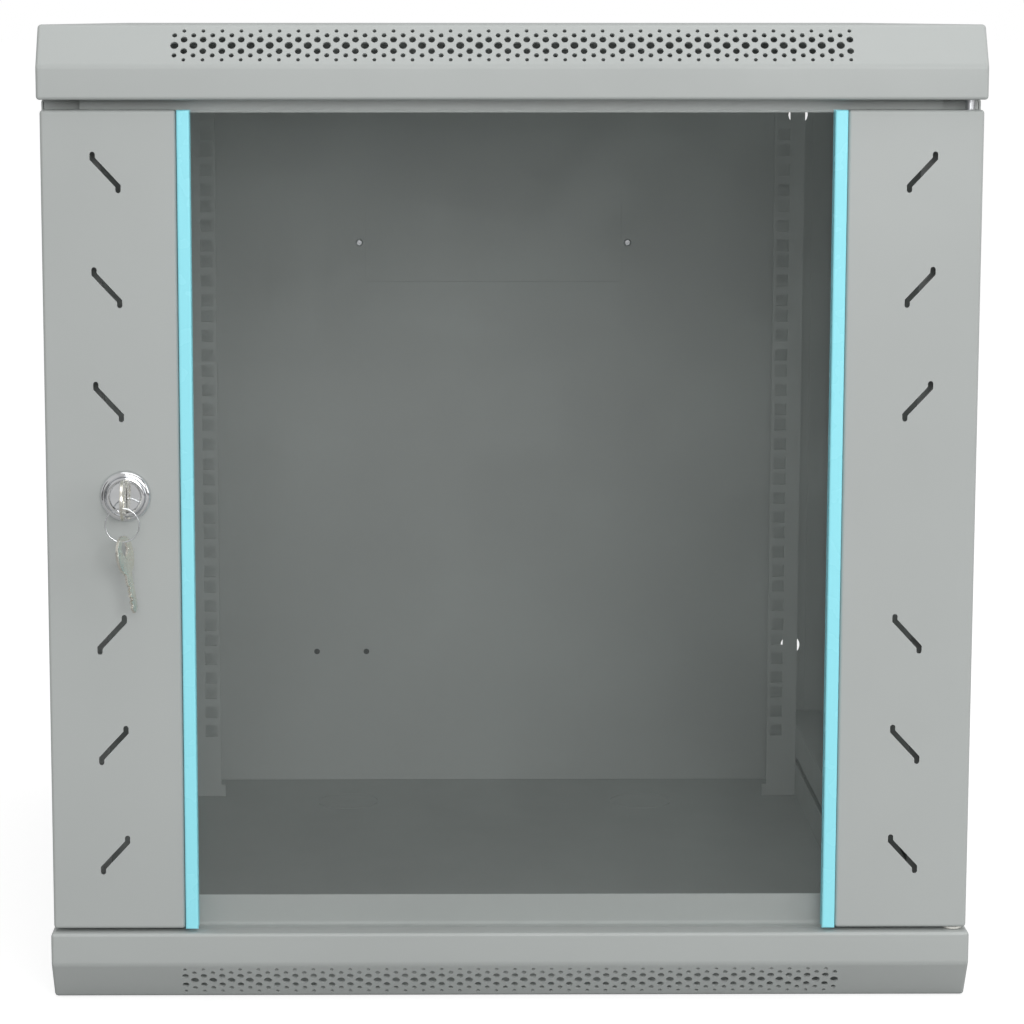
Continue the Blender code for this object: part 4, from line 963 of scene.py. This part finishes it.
class RACK_OT_hinges(bpy.types.Operator):
    """Adds the lower pin with its bush, and the sprung pin at the top of the door"""

    bl_idname = "rack.hinges"
    bl_label = "Hinges"

    def execute(self, context):
        finish_nodes("cabinet", "zinc_plated_steel", ["lower_hinge_pin"])
        finish_nodes("cabinet", "nylon", ["lower_hinge_washer"], width=0.0002)
        finish_nodes("door", "nylon", ["lower_hinge_bush"], width=0.0002)
        brackets = ["lower_hinge_block", "upper_hinge_bracket"]
        finish_nodes("door", "zinc_plated_steel", brackets, width=0.0004)
        finish_nodes("hinge_pin", "zinc_plated_steel", ["upper_hinge_pin"])
        low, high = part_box("upper_hinge_spring")
        spring = coil_spring(low.z, high.z, 0.0040, 0.0004, 7)
        shade(spring, 60)
        finish(spring, "spring_steel", "door", "upper_hinge_spring")
        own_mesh(spring)
        return {"FINISHED"}


# ---------------------------------------------------------------- lock and keys


def lock_housing():
    """Domed bezel, inner ring and barrel, bored for the plug."""
    face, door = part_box("lock_housing")[0].y, DOOR_FRONT - 0.0003
    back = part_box("lock_housing")[1].y
    profile = [
        (0.0083, back),
        (0.0083, face + 0.0032),
        (0.0104, face + 0.0032),
        (0.0104, face + 0.0003),
        (0.0107, face),
        (0.0118, face),
        (0.0123, face + 0.0003),
        (0.0125, face + 0.0010),
        (0.0126, face + 0.0019),
        (0.0130, face + 0.0013),
        (0.0137, face + 0.0009),
        (0.0146, face + 0.0010),
        (0.0155, face + 0.0016),
        (0.0161, face + 0.0024),
        (0.0164, face + 0.0033),
        (0.0165, door),
        (0.0112, door),
        (0.0112, back),
    ]
    return turned_piece("lock_housing_finished", profile, LOCK_CENTRE, "Y", 64)


def lock_plug():
    """Round face with its keyway, barrel, and the square drive for the cam."""
    low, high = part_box("lock_plug")
    front = low.y
    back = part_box("lock_housing")[1].y
    profile = [
        (0, front),
        (0.0096, front),
        (0.0101, front + 0.0005),
        (0.0101, front + 0.0022),
        (0.0080, front + 0.0022),
        (0.0080, back),
        (0, back),
    ]
    plug = turned_piece("lock_plug_finished", profile, LOCK_CENTRE, "Y", 64)
    centre = LOCK_CENTRE
    drive = block(
        "drive",
        (centre.x - 0.003, back - 0.001, centre.z - 0.003),
        (centre.x + 0.003, high.y, centre.z + 0.003),
    )
    apply(plug, "BOOLEAN", operation="UNION", solver="EXACT", object=drive)
    bpy.data.objects.remove(drive)
    keyway = block(
        "keyway",
        (centre.x - 0.0012, front - 0.002, centre.z - 0.0048),
        (centre.x + 0.0012, front + 0.025, centre.z + 0.0048),
    )
    cut_away(plug, keyway)
    ease(plug, 0.00015, 1, 50)
    return plug


class RACK_OT_lock(bpy.types.Operator):
    """Adds the cam lock: housing, nut, plug, cam and screw, and the strike on the post"""

    bl_idname = "rack.lock"
    bl_label = "Lock"

    def execute(self, context):
        housing, plug = lock_housing(), lock_plug()
        for piece in (housing, plug):
            shade(piece, 32)
        finish(housing, "chrome", "door", "lock_housing")
        finish(plug, "chrome", "lock_turn", "lock_plug")
        finish_nodes("door", "zinc_plated_steel", ["lock_nut"], width=0.0006)
        finish_nodes("lock_turn", "zinc_plated_steel", ["lock_cam", "cam_screw"], width=0.0004)
        finish_nodes("cabinet", "zinc_plated_steel", ["lock_keeper"], width=0.0004)
        return {"FINISHED"}


class RACK_OT_keys(bpy.types.Operator):
    """Adds the key in the lock, the wire ring and the spare key"""

    bl_idname = "rack.keys"
    bl_label = "Keys and ring"

    def execute(self, context):
        finish_nodes("key", "nickel_silver", ["door_key"], width=0.00025)
        finish_nodes("spare", "nickel_silver", ["spare_key"], width=0.00025)
        low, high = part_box("key_ring")
        centre = (low + high) / 2
        coils = []
        for step in (-1, 1):
            deselect()
            bpy.ops.mesh.primitive_torus_add(
                major_segments=72,
                minor_segments=10,
                major_radius=RING_RADIUS,
                minor_radius=RING_WIRE_RADIUS,
                location=centre + Vector((0, step * 0.00042, 0)),
                rotation=(math.pi / 2, step * 0.012, 0),
            )
            coils.append(settled("coil"))
        ring = joined("key_ring_finished", coils)
        shade(ring, 60)
        finish(ring, "spring_steel", "ring", "key_ring")
        return {"FINISHED"}


class RACK_OT_door_buffers(bpy.types.Operator):
    """Adds the rubber pads that the closed door rests against"""

    bl_idname = "rack.door_buffers"
    bl_label = "Door buffers"

    def execute(self, context):
        nodes = ["door_buffer_lower", "door_buffer_upper"]
        finish_nodes("cabinet", "rubber", nodes, width=0.0005)
        return {"FINISHED"}


# ---------------------------------------------------------------- stage


def softbox(name, place, size, power, target=(0, 0, 0.3)):
    """A soft rectangular lamp turned towards the target."""
    light = bpy.data.lights.new(name, "AREA")
    light.shape = "RECTANGLE"
    light.size, light.size_y = size
    light.energy = power
    lamp = bpy.data.objects.new(name, light)
    bpy.context.scene.collection.objects.link(lamp)
    lamp.location = place
    lamp.rotation_euler = (Vector(target) - Vector(place)).to_track_quat("-Z", "Y").to_euler()


def flag(name, place, size, target):
    """A dark card that only reflections see."""
    deselect()
    bpy.ops.mesh.primitive_plane_add(size=1, location=place)
    card = bpy.context.object
    card.name = name
    card.scale = (*size, 1)
    card.rotation_euler = (Vector(target) - Vector(place)).to_track_quat("Z", "Y").to_euler()
    made, _, shader = shader_of(name)
    shader.inputs["Base Color"].default_value = (0.01, 0.01, 0.01, 1)
    card.data.materials.append(made)
    card.visible_camera = card.visible_diffuse = card.visible_shadow = False
    card.visible_transmission = False


def camera_only(tree, socket, unseen, seen):
    """Gives the socket one value for what the camera sees and another for what lights the set."""
    path = tree.nodes.new("ShaderNodeLightPath")
    strength = tree.nodes.new("ShaderNodeMapRange")
    strength.inputs["To Min"].default_value = unseen
    strength.inputs["To Max"].default_value = seen
    tree.links.new(path.outputs["Is Camera Ray"], strength.inputs["Value"])
    tree.links.new(strength.outputs["Result"], socket)


class RACK_OT_stage(bpy.types.Operator):
    """Adds the floor, the soft lights and the camera"""

    bl_idname = "rack.stage"
    bl_label = "Stage"

    def execute(self, context):
        scene = context.scene
        scene.view_settings.view_transform = "Standard"
        deselect()
        bpy.ops.mesh.primitive_plane_add(size=160, location=(0, 0, -0.0002))
        floor = context.object
        floor.name = "studio_floor"
        made, _, shader = shader_of("studio_floor")
        shader.inputs["Base Color"].default_value = (0.42, 0.42, 0.42, 1)
        shader.inputs["Roughness"].default_value = 0.9
        shader.inputs["Emission Color"].default_value = (1, 1, 1, 1)
        camera_only(made.node_tree, shader.inputs["Emission Strength"], 0.0, FLOOR_GLOW)
        floor.data.materials.append(made)
        world = bpy.data.worlds.new("studio")
        scene.world = world
        world.use_nodes = True
        tree = world.node_tree
        background = tree.nodes["Background"]
        background.inputs["Color"].default_value = (1, 1, 1, 1)
        camera_only(tree, background.inputs["Strength"], ROOM_LIGHT, 1.0)
        for lamp in LAMPS:
            softbox(*lamp)
        for card in CARDS:
            flag(*card, LOCK_CENTRE)
        lens = bpy.data.cameras.new("camera")
        lens.sensor_width = 36
        lens.lens = CAMERA_LENS
        lens.shift_x, lens.shift_y = CAMERA_SHIFT
        camera = bpy.data.objects.new("camera", lens)
        scene.collection.objects.link(camera)
        camera.location = CAMERA_PLACE
        camera.rotation_euler = CAMERA_TURN
        scene.camera = camera
        return {"FINISHED"}


# ---------------------------------------------------------------- panel and registration

PIECES = (
    RACK_OT_stage,
    RACK_OT_covers,
    RACK_OT_frame,
    RACK_OT_rear_panel,
    RACK_OT_rack_rails,
    RACK_OT_side_panels,
    RACK_OT_door,
    RACK_OT_hinges,
    RACK_OT_lock,
    RACK_OT_keys,
    RACK_OT_door_buffers,
)


class RACK_PT_sidebar(bpy.types.Panel):
    """Sizes, colours and pieces of the cabinet"""

    bl_idname = "RACK_PT_sidebar"
    bl_label = "Network rack cabinet"
    bl_space_type = "VIEW_3D"
    bl_region_type = "UI"
    bl_category = "Rack"

    def draw(self, context):
        for group in ("rack_sheet", "rack_vents", "rack_colours"):
            box = self.layout.box()
            values = getattr(context.scene, group)
            for name in values.__annotations__:
                box.prop(values, name)
        for operator in PIECES:
            self.layout.operator(operator.bl_idname)


CLASSES = (RackSheetSizes, RackVentSizes, RackFinishColours, *PIECES, RACK_PT_sidebar)


def register():
    for cls in CLASSES:
        bpy.utils.register_class(cls)
    bpy.types.Scene.rack_sheet = bpy.props.PointerProperty(type=RackSheetSizes)
    bpy.types.Scene.rack_vents = bpy.props.PointerProperty(type=RackVentSizes)
    bpy.types.Scene.rack_colours = bpy.props.PointerProperty(type=RackFinishColours)


def unregister():
    for name in ("rack_sheet", "rack_vents", "rack_colours"):
        delattr(bpy.types.Scene, name)
    for cls in reversed(CLASSES):
        bpy.utils.unregister_class(cls)


def main():
    register()
    for operator in PIECES:
        kind, name = operator.bl_idname.split(".")
        getattr(getattr(bpy.ops, kind), name)()


if __name__ == "__main__":
    main()
